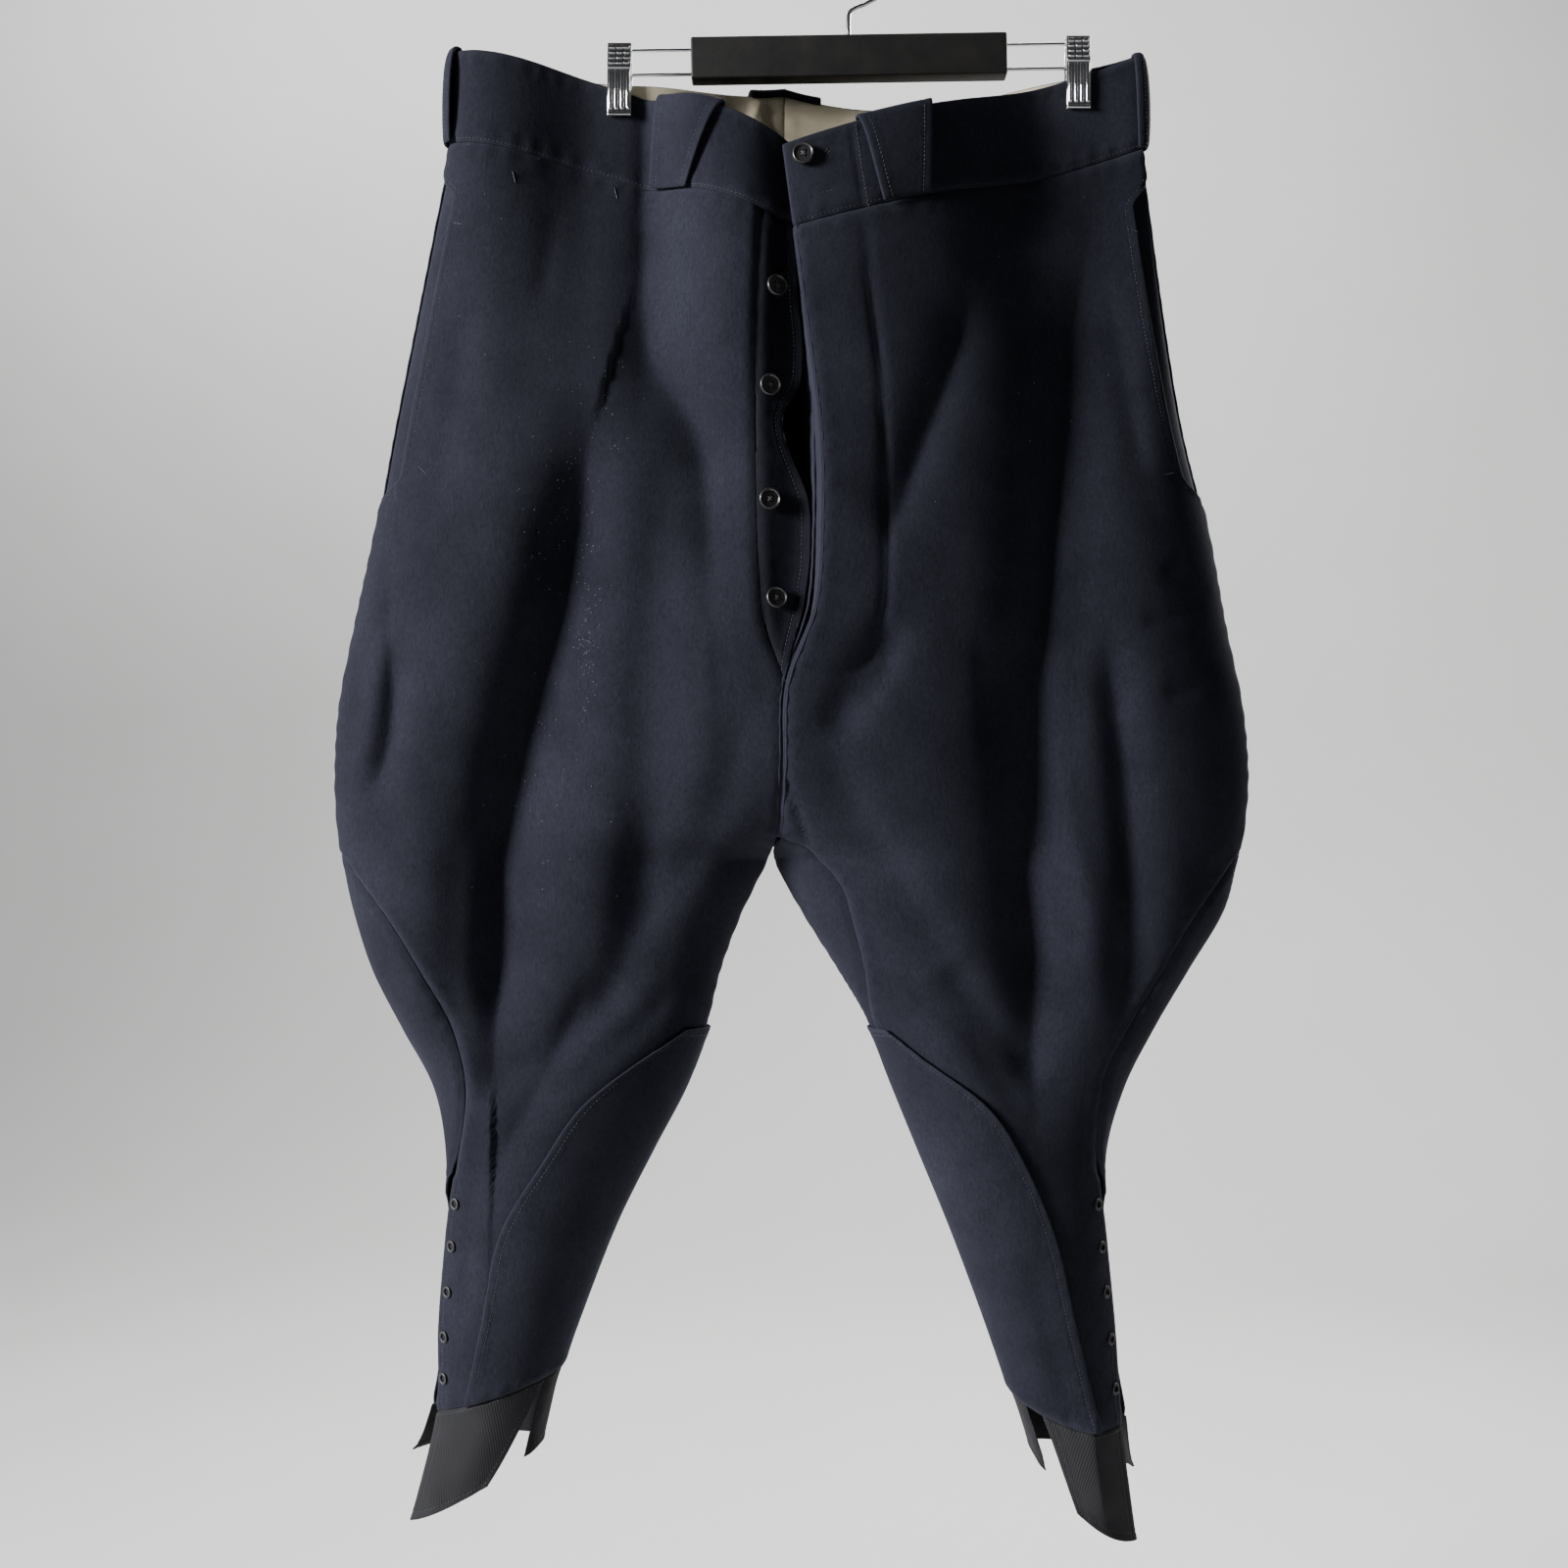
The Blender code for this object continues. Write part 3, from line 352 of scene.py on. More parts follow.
def directions(points):
    """Unit vectors square to a net of points."""
    n = np.cross(np.gradient(points, axis=1), np.gradient(points, axis=0))
    return n / np.maximum(np.linalg.norm(n, axis=-1, keepdims=True), 1e-9)


RIGHT = Leg("right", RIGHT_LEG, RIGHT_FRONT_FOLDS + CONTINUATION_FOLDS, RIGHT_BACK_FOLDS, 1, 0.0, PINCH_TUCK)
LEFT = Leg("left", LEFT_LEG, LEFT_FRONT_FOLDS + CONTINUATION_FOLDS, LEFT_BACK_FOLDS, -1, 6.0, PINCH_SPREAD)
LEGS = (RIGHT, LEFT)


def from_edges(points):
    """Distance of each point of a net from its first and last column and row, in millimetres."""
    across = np.linalg.norm(np.diff(points, axis=1), axis=-1)
    down = np.linalg.norm(np.diff(points, axis=0), axis=-1)
    start = np.pad(np.cumsum(across, axis=1), ((0, 0), (1, 0)))
    top = np.pad(np.cumsum(down, axis=0), ((1, 0), (0, 0)))
    return {"start": start, "end": start[:, -1:] - start, "top": top, "hem": top[-1:] - top}


def edge_relief(distance, along, form):
    """How far a piece stands out near an edge: a pressed seam with slight puckers, or a turned, sewn edge."""
    if form == "seam":
        waves = np.sin(along / 2.6 + 1.9 * np.sin(along / 17))
        pucker = 0.28 * waves * np.exp(-((distance - 4) / 5) ** 2)
        return pucker - 0.9 * np.exp(-(distance / 2.0) ** 2) + 0.3 * np.exp(-((distance - 6) / 3.5) ** 2)
    if form == "turned":
        waves = np.sin(along / 2.1 + 1.3 * np.sin(along / 11))
        pucker = 0.16 * waves * np.exp(-((distance - 5) / 4) ** 2)
        sunk = 0.5 * np.exp(-((distance - STITCHED) / 1.3) ** 2)
        return pucker + 0.5 * (1 - step(distance, 5.5, 9)) - sunk
    return np.zeros_like(distance)


def relief(points, edges):
    """The sum of the reliefs of a piece's named edges."""
    far = from_edges(points)
    along = {"start": "top", "end": "top", "top": "start", "hem": "start"}
    return sum(edge_relief(far[edge], far[along[edge]], form) for edge, form in edges.items())


def wear(points, edges):
    """1 along the turned edges and seams, where the nap has rubbed off, down to 0 in the cloth."""
    far = from_edges(points)
    rubbed = [np.exp(-(far[edge] / (3.5 if form == "turned" else 2.0)) ** 2) for edge, form in edges.items()]
    return np.max(rubbed, axis=0) if rubbed else np.zeros(points.shape[:2])


def drawn_in(points, distance, start=None):
    """A net with its edges drawn in by distance, or its first column by start, so that pieces keep a gap."""
    points = points.copy()
    for axis in (0, 1):
        net = np.moveaxis(points, axis, 0)
        for edge, inside in ((0, 1), (-1, -2)):
            way = net[inside] - net[edge]
            by = start if start is not None and axis == 1 and edge == 0 else distance
            net[edge] += way / np.maximum(np.linalg.norm(way, axis=-1, keepdims=True), 1e-6) * by
    return points


def sheet_of_cloth(name, outer, normals, thick, material, worn=None):
    """A thin shell from its outer net of points, with edges rounded over half its thickness.

    Its UV map "cut" is the cloth laid flat, in metres, and its attribute "worn" says where the nap is gone.
    """
    rows, columns = outer.shape[:2]
    inner = outer - normals * thick
    border = [(0, j) for j in range(columns)] + [(i, columns - 1) for i in range(1, rows)]
    border += [(rows - 1, j) for j in range(columns - 2, -1, -1)] + [(i, 0) for i in range(rows - 2, 0, -1)]
    bi, bj = np.array(border).T
    way = np.zeros((len(border), 3))
    for on_edge, inside in (((bi == 0), (bi + 1, bj)), ((bi == rows - 1), (bi - 1, bj)),
                            ((bj == 0), (bi, bj + 1)), ((bj == columns - 1), (bi, bj - 1))):
        ii, jj = np.clip(inside[0], 0, rows - 1), np.clip(inside[1], 0, columns - 1)
        out = outer[bi, bj] - outer[ii, jj]
        out /= np.maximum(np.linalg.norm(out, axis=-1, keepdims=True), 1e-9)
        way += np.where(on_edge[:, None], out, 0)
    n = normals[bi, bj]
    way -= n * np.sum(way * n, axis=-1, keepdims=True)
    way /= np.maximum(np.linalg.norm(way, axis=-1, keepdims=True), 1e-9)
    middle = 0.5 * (outer[bi, bj] + inner[bi, bj])
    rings = [middle + 0.5 * thick * (n * math.sin(q) + way * math.cos(q)) for q in (0.8, 0.0, -0.8)]
    verts = np.concatenate([outer.reshape(-1, 3), inner.reshape(-1, 3), *rings])
    at = np.arange(rows * columns).reshape(rows, columns)
    quads = np.stack([at[:-1, :-1], at[:-1, 1:], at[1:, 1:], at[1:, :-1]], axis=-1).reshape(-1, 4)
    count, ring = rows * columns, len(border)
    loops = [at[bi, bj]] + [2 * count + k * ring + np.arange(ring) for k in range(3)] + [at[bi, bj] + count]
    strips = [np.stack([np.roll(a, -1), a, b, np.roll(b, -1)], axis=-1) for a, b in zip(loops, loops[1:])]
    faces = np.concatenate([quads, quads[:, ::-1] + count, *strips])
    middle_quad = verts[quads[len(quads) // 2]]
    facing = np.cross(middle_quad[1] - middle_quad[0], middle_quad[3] - middle_quad[0])
    if np.dot(facing, normals.reshape(-1, 3)[quads[len(quads) // 2][0]]) < 0:
        faces = faces[:, ::-1]
    mesh = bpy.data.meshes.new(name)
    mesh.from_pydata((verts * MM).tolist(), [], faces.tolist())
    far = from_edges(outer)
    across = far["start"] - 0.5 * far["start"][:, -1:]
    flat = np.stack([across, -far["top"]], axis=-1).reshape(-1, 2) * MM
    by_vertex = np.concatenate([flat, flat] + [flat[at[bi, bj]]] * 3)
    corners = np.zeros(len(mesh.loops), np.int32)
    mesh.loops.foreach_get("vertex_index", corners)
    mesh.uv_layers.new(name="cut").data.foreach_set("uv", by_vertex[corners].astype(np.float32).ravel())
    rubbed = np.zeros(count) if worn is None else worn.reshape(-1)
    rubbed = np.concatenate([rubbed, rubbed] + [rubbed[at[bi, bj]]] * 3)
    layer = mesh.attributes.new("worn", "FLOAT", "POINT")
    layer.data.foreach_set("value", rubbed.astype(np.float32))
    mesh.materials.append(material)
    mesh.shade_smooth()
    piece = bpy.data.objects.new(name, mesh)
    bpy.context.scene.collection.objects.link(piece)
    return piece


def new_material(name):
    """A material, its shader, and a function that adds and links nodes."""
    material = bpy.data.materials.new(name)
    material.use_nodes = True
    tree = material.node_tree
    shader = tree.nodes["Principled BSDF"]

    def add(kind, inputs=None, **settings):
        node = tree.nodes.new(kind)
        for key, value in settings.items():
            setattr(node, key, value)
        for key, value in (inputs or {}).items():
            if isinstance(value, bpy.types.NodeSocket):
                tree.links.new(value, node.inputs[key])
            else:
                node.inputs[key].default_value = value
        return node

    return material, shader, add


def noise(add, vector, scale, detail=3.0, roughness=0.55, distortion=0.0):
    """Soft noise, its scale in swells a metre."""
    node = add("ShaderNodeTexNoise", {"Vector": vector, "Scale": scale, "Detail": detail,
                                      "Roughness": roughness, "Distortion": distortion})
    return node.outputs["Fac"]


def ramp(add, factor, *stops):
    """A colour ramp through (place, colour) stops."""
    node = add("ShaderNodeValToRGB", {"Fac": factor})
    elements = node.color_ramp.elements
    while len(elements) < len(stops):
        elements.new(0.5)
    for element, (place, colour) in zip(elements, stops):
        element.position = place
        element.color = (*colour, 1.0)
    return node.outputs["Color"]


def mixed(add, factor, a, b, blend="MIX"):
    """Colour a with colour b laid over it."""
    node = add("ShaderNodeMix", data_type="RGBA", blend_type=blend)
    for socket, value in ((node.inputs[0], factor), (node.inputs[6], a), (node.inputs[7], b)):
        if isinstance(value, bpy.types.NodeSocket):
            node.id_data.links.new(value, socket)
        else:
            socket.default_value = value if isinstance(value, (int, float)) else (*value, 1.0)
    return node.outputs[2]


def bump(add, shader, *layers):
    """Bump layers of (height, strength, distance in metres), one on the other."""
    normal = None
    for height, strength, distance in layers:
        inputs = {"Height": height, "Strength": strength, "Distance": distance}
        if normal is not None:
            inputs["Normal"] = normal
        normal = add("ShaderNodeBump", inputs).outputs["Normal"]
    shader.id_data.links.new(normal, shader.inputs["Normal"])


def melton(name, dark, light, rubbed):
    """Milled wool: a cloudy brushed nap that hides the weave, stray pale fibres, and bare, rubbed edges."""
    material, shader, add = new_material(name)
    place = add("ShaderNodeTexCoord").outputs["Object"]
    stretched = add("ShaderNodeMapping", {"Vector": place, "Scale": (1.0, 1.0, 0.45)}).outputs["Vector"]
    clouds = noise(add, place, 14.0, 4.0, 0.6)
    felt = noise(add, stretched, 620.0, 4.0, 0.7, 0.6)
    hairs = noise(add, stretched, 1500.0, 2.0, 0.6, 1.5)
    cloudy = ramp(add, clouds, (0.3, dark), (0.72, light))
    felted = mixed(add, 1.0, cloudy, ramp(add, felt, (0.3, (0.62, 0.62, 0.64)), (0.72, (1.32, 1.32, 1.30))),
                   "MULTIPLY")
    hairy = mixed(add, ramp(add, hairs, (0.66, (0, 0, 0)), (0.78, (0.45, 0.45, 0.45))), felted, rubbed)
    worn = add("ShaderNodeAttribute", attribute_name="worn").outputs["Fac"]
    patchy = add("ShaderNodeMath", {0: worn, 1: felt}, operation="MULTIPLY").outputs[0]
    shader.id_data.links.new(mixed(add, patchy, hairy, rubbed), shader.inputs["Base Color"])
    shader.inputs["Roughness"].default_value = 0.96
    shader.inputs["Specular IOR Level"].default_value = 0.12
    shader.inputs["Sheen Weight"].default_value = 0.05
    shader.inputs["Sheen Roughness"].default_value = 0.45
    shader.inputs["Sheen Tint"].default_value = (0.55, 0.60, 0.80, 1.0)
    bump(add, shader, (noise(add, place, 90.0, 3.0, 0.6), 0.25, 0.0006), (felt, 0.5, 0.0005))
    return material


WOOL_FINISH = melton("melton_wool", (0.0096, 0.0101, 0.0162), (0.0172, 0.0180, 0.0272), (0.020, 0.021, 0.031))

# The seams, as rows with places or as (x, z) points: the left inseam's turn to the front at the fork, the
# crotch seam's end above it, the outseams under the flare, and the two edges of the underlap.
FORK_ROWS = (9.35, 9.6, 10.0, 10.5, 11.0, 12.0, 13.0, 14.0)
FORK_TURN = (0.0, 0.10, 0.17, 0.20, 0.19, 0.14, 0.04, 0.0)
FORK_SEAM = ((-43.5, -566), (-38, -586), (-32, -602), (-27, -616))
OUTSEAMS = {"right": ((-302, -666), (-275, -709), (-263, -732), (-255, -760), (-254, -785)),
            "left": ((226, -664), (204, -702), (183, -737), (169, -764), (165, -788))}
FLY_ROWS = (1.0, 2.5, 4.5, 5.5, 6.3, 6.8, 7.0)
FLY_SEAM_X = (-59, -61.5, -62, -60, -55, -46, -42.6)
UNDERLAP_EDGE = ((-36, -205), (-34, -260), (-31, -300), (-33, -317), (-41, -331), (-43.5, -340), (-41, -355),
                 (-33, -375), (-29, -385), (-26, -423), (-29, -452), (-35, -478), (-41, -502))
POCKET_ROWS = (1.35, 4.5)
POCKET_WIDE = 0.12
SLIT_WIDE = 0.09
PANEL_STEPS = (290, 96)  # rows and columns of a panel's net


def glide(value, knots, values):
    """The value at a place between knots, on a smooth curve."""
    knots, values = np.array(knots, float), np.array(values, float)
    slopes = np.gradient(values, knots)
    i = int(np.clip(np.searchsorted(knots, value) - 1, 0, len(knots) - 2))
    h = knots[i + 1] - knots[i]
    f = np.clip((value - knots[i]) / h, 0, 1)
    back = (1 - f) ** 2
    return float((1 + 2 * f) * back * values[i] + f * back * h * slopes[i]
                 + f * f * (3 - 2 * f) * values[i + 1] - f * f * (1 - f) * h * slopes[i + 1])


def inseam(leg, s):
    """How far the inseam is turned to the front on row s."""
    if leg is LEFT and s < 14:
        return max(0.0, glide(s, FORK_ROWS, FORK_TURN))
    return max(0.0, float(leg.row(np.float64(s))["wrap"]))


def fly_seam(s):
    """The right front's edge: the underlap's seam above, the crotch seam and the inseam below."""
    return inseam(RIGHT, s) if s >= FLY_END else RIGHT.a_at(s, glide(s, FLY_ROWS, FLY_SEAM_X))


def pocket_cut(s):
    """How far the front's outer edge is cut back on row s for the pocket's mouth."""
    start, end = POCKET_ROWS
    return POCKET_WIDE * float(step(s, start, start + 0.3) * (1 - step(s, end, end + 0.3)))


def slit_cut(s):
    """How far the front's outer edge is cut back on row s for the calf's slit."""
    return SLIT_WIDE * float(step(s, SLIT_TOP, SLIT_TOP + 0.6))


def front_edges(leg, s):
    """The places where a front begins and ends on row s."""
    return (fly_seam(s) if leg is RIGHT else inseam(leg, s)), outseam(leg, s) - pocket_cut(s)


def back_edges(leg, s):
    """The places where a back begins and ends on row s, at the slit a little under the front's edge."""
    lap = float(step(s, SLIT_TOP - 0.2, SLIT_TOP + 1.0))
    return (1 - lap) * (outseam(leg, s) - 2) + lap * (0.6 * SLIT_WIDE - 1), inseam(leg, s)


def outseam_line(leg):
    """Rows and places of the outseam: at the outline, turned forward under the flare, then at the slit."""
    rows, places = leg.place(OUTSEAMS[leg.name])
    return (np.concatenate([[rows[0] - 1.6], rows, [SLIT_TOP + 0.6, HEM]]),
            np.concatenate([[1.0], places, [1 - SLIT_WIDE, 1 - SLIT_WIDE]]))


OUTSEAM_LINES = {leg.name: outseam_line(leg) for leg in LEGS}


def outseam(leg, s):
    """The outseam's place on row s."""
    rows, places = OUTSEAM_LINES[leg.name]
    return glide(s, rows, places) if s > rows[0] else 1.0


def spread_columns(edges, leg, count):
    """Evenly spread columns between a piece's two edges, for Leg.net."""
    return lambda s: np.linspace(*edges(leg, s), count)


# Lines that press a groove in the cloth: the curved stitching that holds the fly's facing, the watch pocket's
# slit, and the tuck beside the right clip. The table holds them as folds for each panel.
FLY_STITCHING = ((8, -212), (12, -262), (18, -319), (21, -387), (21, -444), (18, -478), (11, -494), (1, -501),
                 (-15, -503), (-38, -501))
WATCH_SLIT = ((-222, -172.5), (-190, -174.5), (-157, -179.5))
CLIP_TUCK = ((-138, -85), (-138, -165), (-136, -245))
GROOVES = {"front_left": ((FLY_STITCHING, 2.6, 2.4, 2.0, 1.3), (FORK_SEAM, 2.0, 2.0, 1.6, 1.5)),
           "front_right": ((WATCH_SLIT, 2.0, 2.0, 1.2, 1.6), (CLIP_TUCK, 7, 9, 2.4, 1.5))}

NETS = {}


def open_edge(s):
    """Whether a front's outer edge is free on row s, at the pocket's mouth or at the slit."""
    return pocket_cut(s) > 0.02 or slit_cut(s) > 0.02


def as_sheet(piece, node):
    """Hold a piece of cloth to the root and hide the CAD node that it stands for."""
    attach(piece, "root")
    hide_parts(node)


for leg in LEGS:
    for side, edges in (("front", front_edges), ("back", back_edges)):
        node = f"{side}_{leg.name}"
        forms = dict.fromkeys(("start", "end", "top", "hem"), "seam")
        rows = np.linspace(WAIST_SEAM, CUFF_SEAM, PANEL_STEPS[0])
        points, normals = leg.net(rows, spread_columns(edges, leg, PANEL_STEPS[1]))
        points = drawn_in(points, 0.5 * WOOL, 0.35 if side == "front" else None)
        lift = relief(points, forms) - fold_depth(GROOVES.get(node, ()), points[..., 0], points[..., 2])
        outer_edge = "end" if side == "front" else "start"
        free = [open_edge(s) if side == "front" else slit_cut(s) > 0.02 for s in rows]
        far = from_edges(points)
        lift = lift + np.array(free)[:, None] * (edge_relief(far[outer_edge], far["top"], "turned")
                                                 - edge_relief(far[outer_edge], far["top"], "seam"))
        points = points + normals * lift[..., None]
        NETS[node] = (rows, points, normals)
        piece = sheet_of_cloth("cloth_" + node, points, normals, WOOL, WOOL_FINISH, wear(points, forms))
        as_sheet(piece, node)


# Sewing. Every seam and edge is sewn with a lockstitch in navy thread, about nine stitches to the inch,
# each a short sunk lens of thread.
def thread_finish(name, colour, rough=0.6):
    """Twisted thread, darker between its plies."""
    material, shader, add = new_material(name)
    place = add("ShaderNodeTexCoord").outputs["Object"]
    ply = add("ShaderNodeTexWave", {"Vector": place, "Scale": 900.0, "Distortion": 2.0}).outputs["Fac"]
    dark = tuple(0.55 * c for c in colour)
    shader.id_data.links.new(ramp(add, ply, (0.2, dark), (0.8, colour)), shader.inputs["Base Color"])
    shader.inputs["Roughness"].default_value = rough
    bump(add, shader, (ply, 0.4, 0.0001))
    return material


NAVY_THREAD = thread_finish("navy_thread", (0.020, 0.021, 0.029))
BLACK_THREAD = thread_finish("black_thread", (0.020, 0.020, 0.022))


def beside(net, edge, distance, low=None, high=None):
    """The line on a net that runs at a distance in millimetres from one of its edges."""
    rows, points, normals = net
    far = from_edges(points)[edge]
    flip = edge in ("end", "hem")
    if edge in ("top", "hem"):
        far, points, normals = far.T, np.swapaxes(points, 0, 1), np.swapaxes(normals, 0, 1)
    line, out = [], []
    for k, away in enumerate(far):
        if low is not None and edge in ("start", "end") and not low <= rows[k] <= high:
            continue
        order = slice(None, None, -1) if flip else slice(None)
        where = np.interp(distance, away[order], np.arange(len(away))[order].astype(float))
        i = int(min(where, len(away) - 2))
        f = where - i
        line.append(points[k, i] * (1 - f) + points[k, i + 1] * f)
        out.append(normals[k, i])
    return np.array(line), np.array(out)


def on_net(net, line, count=60):
    """The line of (x, z) points laid on a net, as points and outward directions."""
    _, points, normals = net
    flat_points, flat_normals = points.reshape(-1, 3), normals.reshape(-1, 3)
    path = smooth_line(line, count) if len(line) > 2 else np.linspace(*np.array(line, float), count)
    where = [np.argmin((flat_points[:, 0] - x) ** 2 + (flat_points[:, 2] - z) ** 2) for x, z in path]
    near, out = flat_points[where], flat_normals[where]
    dx, dz = path[:, 0] - near[:, 0], path[:, 1] - near[:, 2]
    y = near[:, 1] - (out[:, 0] * dx + out[:, 2] * dz) / out[:, 1]
    return np.stack([path[:, 0], y, path[:, 1]], axis=-1), out


def sew(name, runs, material=NAVY_THREAD, pitch=2.8, long=2.2, wide=0.55, high=0.28, lift=0.0):
    """Stitches along lines of (points, outward directions), all in one piece."""
    verts, faces = [], []
    for line, out in runs:
        steps = np.linalg.norm(np.diff(line, axis=0), axis=1)
        along = np.concatenate([[0], np.cumsum(steps)])
        for middle in np.arange(0.5 * pitch, along[-1], pitch):
            ends = [np.array([np.interp(v, along, line[:, k]) for k in range(3)])
                    for v in (middle - 0.5 * long, middle + 0.5 * long)]
            up = np.array([np.interp(middle, along, out[:, k]) for k in range(3)])
            up /= np.linalg.norm(up)
            way = ends[1] - ends[0]
            side = np.cross(way, up)
            side /= max(np.linalg.norm(side), 1e-9)
            centre = 0.5 * (ends[0] + ends[1]) + up * lift
            base = len(verts)
            verts += [ends[0] - up * (0.15 - lift), ends[1] - up * (0.15 - lift)]
            for at in (-0.3, 0.3):
                verts += [centre + way * at + side * 0.5 * wide, centre + way * at + up * high,
                          centre + way * at - side * 0.5 * wide, centre + way * at - up * 0.2]
            for k in range(4):
                a, b = base + 2 + k, base + 2 + (k + 1) % 4
                faces += [(base, b, a), (a, b, b + 4, a + 4), (base + 1, a + 4, b + 4)]
    mesh = bpy.data.meshes.new(name)
    mesh.from_pydata((np.array(verts) * MM).tolist(), [], faces)
    mesh.materials.append(material)
    mesh.shade_smooth()
    piece = bpy.data.objects.new(name, mesh)
    bpy.context.scene.collection.objects.link(piece)
    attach(piece, "root")
    return piece


runs = []
for leg in LEGS:
    front, back = NETS["front_" + leg.name], NETS["back_" + leg.name]
    runs += [beside(front, "end", STITCHED, POCKET_ROWS[0], POCKET_ROWS[1] + 0.4),
             beside(front, "end", STITCHED, SLIT_TOP + 0.4, CUFF_SEAM - 0.05),
             beside(back, "start", STITCHED, SLIT_TOP + 0.4, CUFF_SEAM - 0.05)]
sew("stitches_edges", runs)
sew("stitches_fly", [on_net(NETS["front_left"], FLY_STITCHING, 160)], lift=-0.15)

# Knee patches. A patch of the same melton lies over the inside of each leg, from above the knee down to the
# continuation and round the inseam, its edge turned under and stitched down.
PATCH = 1.5
PATCH_TOP = 13.0
PATCH_ROWS = (13.0, 13.5, 14.0, 15.0, 16.0, 17.0, 18.0)
PATCH_REACH = {"right": (0.14, 0.28, 0.39, 0.50, 0.60, 0.61, 0.66),
               "left": (0.13, 0.25, 0.38, 0.52, 0.59, 0.61, 0.67)}
runs = []
for leg in LEGS:
    rows = np.linspace(PATCH_TOP, CUFF_SEAM, 120)
    reach = [glide(s, PATCH_ROWS, PATCH_REACH[leg.name]) for s in rows]
    points, normals = leg.net(rows, lambda s: np.linspace(-0.9, 1.0, 100) * np.interp(s, rows, reach))
    points = drawn_in(points, SEAM + 0.5 * PATCH)
    forms = {"start": "turned", "end": "turned", "top": "turned", "hem": "seam"}
    outer = points + normals * (PATCH + 0.5 + relief(points, forms))[..., None]
    net = (rows, outer, normals)
    runs += [beside(net, edge, STITCHED) for edge in ("end", "start", "top")]
    node = "knee_patch_" + leg.name
    piece = sheet_of_cloth("cloth_" + node, outer, normals, PATCH, WOOL_FINISH, wear(points, forms))
    as_sheet(piece, node)
sew("stitches_patches", runs)

# Continuations. Below the calf each leg goes on in two shaped pieces of thin grey-black cotton twill, so
# that it lies flat in the boot; their free edges are narrowly hemmed, and the front ones hang lower.
def twill(name, colour, light, scale, slub=0.3):
    """Diagonal ribs of a cotton twill, in the cloth's own flat coordinates."""
    material, shader, add = new_material(name)
    cut = add("ShaderNodeUVMap", uv_map="cut").outputs["UV"]
    place = add("ShaderNodeTexCoord").outputs["Object"]
    turned = add("ShaderNodeMapping", {"Vector": cut, "Rotation": (0, 0, math.radians(27))}).outputs["Vector"]
    rib = add("ShaderNodeTexWave", {"Vector": turned, "Scale": scale, "Distortion": 0.6, "Detail": 1.0})
    clouds = noise(add, place, 22.0, 4.0, 0.6)
    fibre = noise(add, place, 1100.0, 3.0, 0.7)
    cloudy = ramp(add, clouds, (0.3, colour), (0.75, light))
    ribs = ramp(add, rib.outputs["Fac"], (0.1, (0.72,) * 3), (0.8, (1.15,) * 3))
    ribbed = mixed(add, 1.0, cloudy, ribs, "MULTIPLY")
    shader.id_data.links.new(mixed(add, slub, ribbed, ramp(add, fibre, (0.3, colour), (0.75, light))),
                             shader.inputs["Base Color"])
    shader.inputs["Roughness"].default_value = 0.85
    shader.inputs["Specular IOR Level"].default_value = 0.15
    bump(add, shader, (noise(add, place, 60.0, 3.0, 0.6), 0.35, 0.0008), (rib.outputs["Fac"], 0.5, 0.0003))
    return material


GREY_COTTON = twill("grey_cotton_twill", (0.0145, 0.0145, 0.0165), (0.024, 0.024, 0.027), 190.0)
COTTON = 1.2
TUCKED_ROWS = 0.08  # how far the top edge goes up behind the wool
TUCKED_DEEP = 2.5
CONTINUATION_START = {"right": (0.17, 0.41), "left": (0.30, 0.42)}


def continuation_edges(side):
    """The function that gives a continuation's two edges on row s; the front one starts beside the inseam."""
    def edges(leg, s):
        if side == "back":
            return back_edges(leg, s)
        top, hem = CONTINUATION_START[leg.name]
        return top + (hem - top) * (s - CUFF_SEAM), 1 - SLIT_WIDE
    return edges


runs = []
for leg in LEGS:
    for side in ("front", "back"):
        node = f"continuation_{side}_{leg.name}"
        rows = np.concatenate([np.linspace(CUFF_SEAM - TUCKED_ROWS, CUFF_SEAM + 0.05, 9),
                               np.linspace(CUFF_SEAM + 0.07, HEM, 32)])
        points, normals = leg.net(rows, spread_columns(continuation_edges(side), leg, 60))
        points = drawn_in(points, SEAM + 0.5 * COTTON)
        last = "turned" if side == "front" else "seam"
        forms = {"start": "turned", "end": last, "top": "seam", "hem": "turned"}
        tucked = TUCKED_DEEP * (1 - step(rows, CUFF_SEAM - 0.02, CUFF_SEAM + 0.03))
        outer = points + normals * (relief(points, forms) - 0.3 - tucked[:, None])[..., None]
        net = (rows, outer, normals)
        runs += [beside(net, "hem", STITCHED), beside(net, "top", 8.4), beside(net, "start", STITCHED)]
        piece = sheet_of_cloth("cloth_" + node, outer, normals, COTTON, GREY_COTTON, wear(points, forms))
        as_sheet(piece, node)
sew("stitches_continuations", runs, BLACK_THREAD)

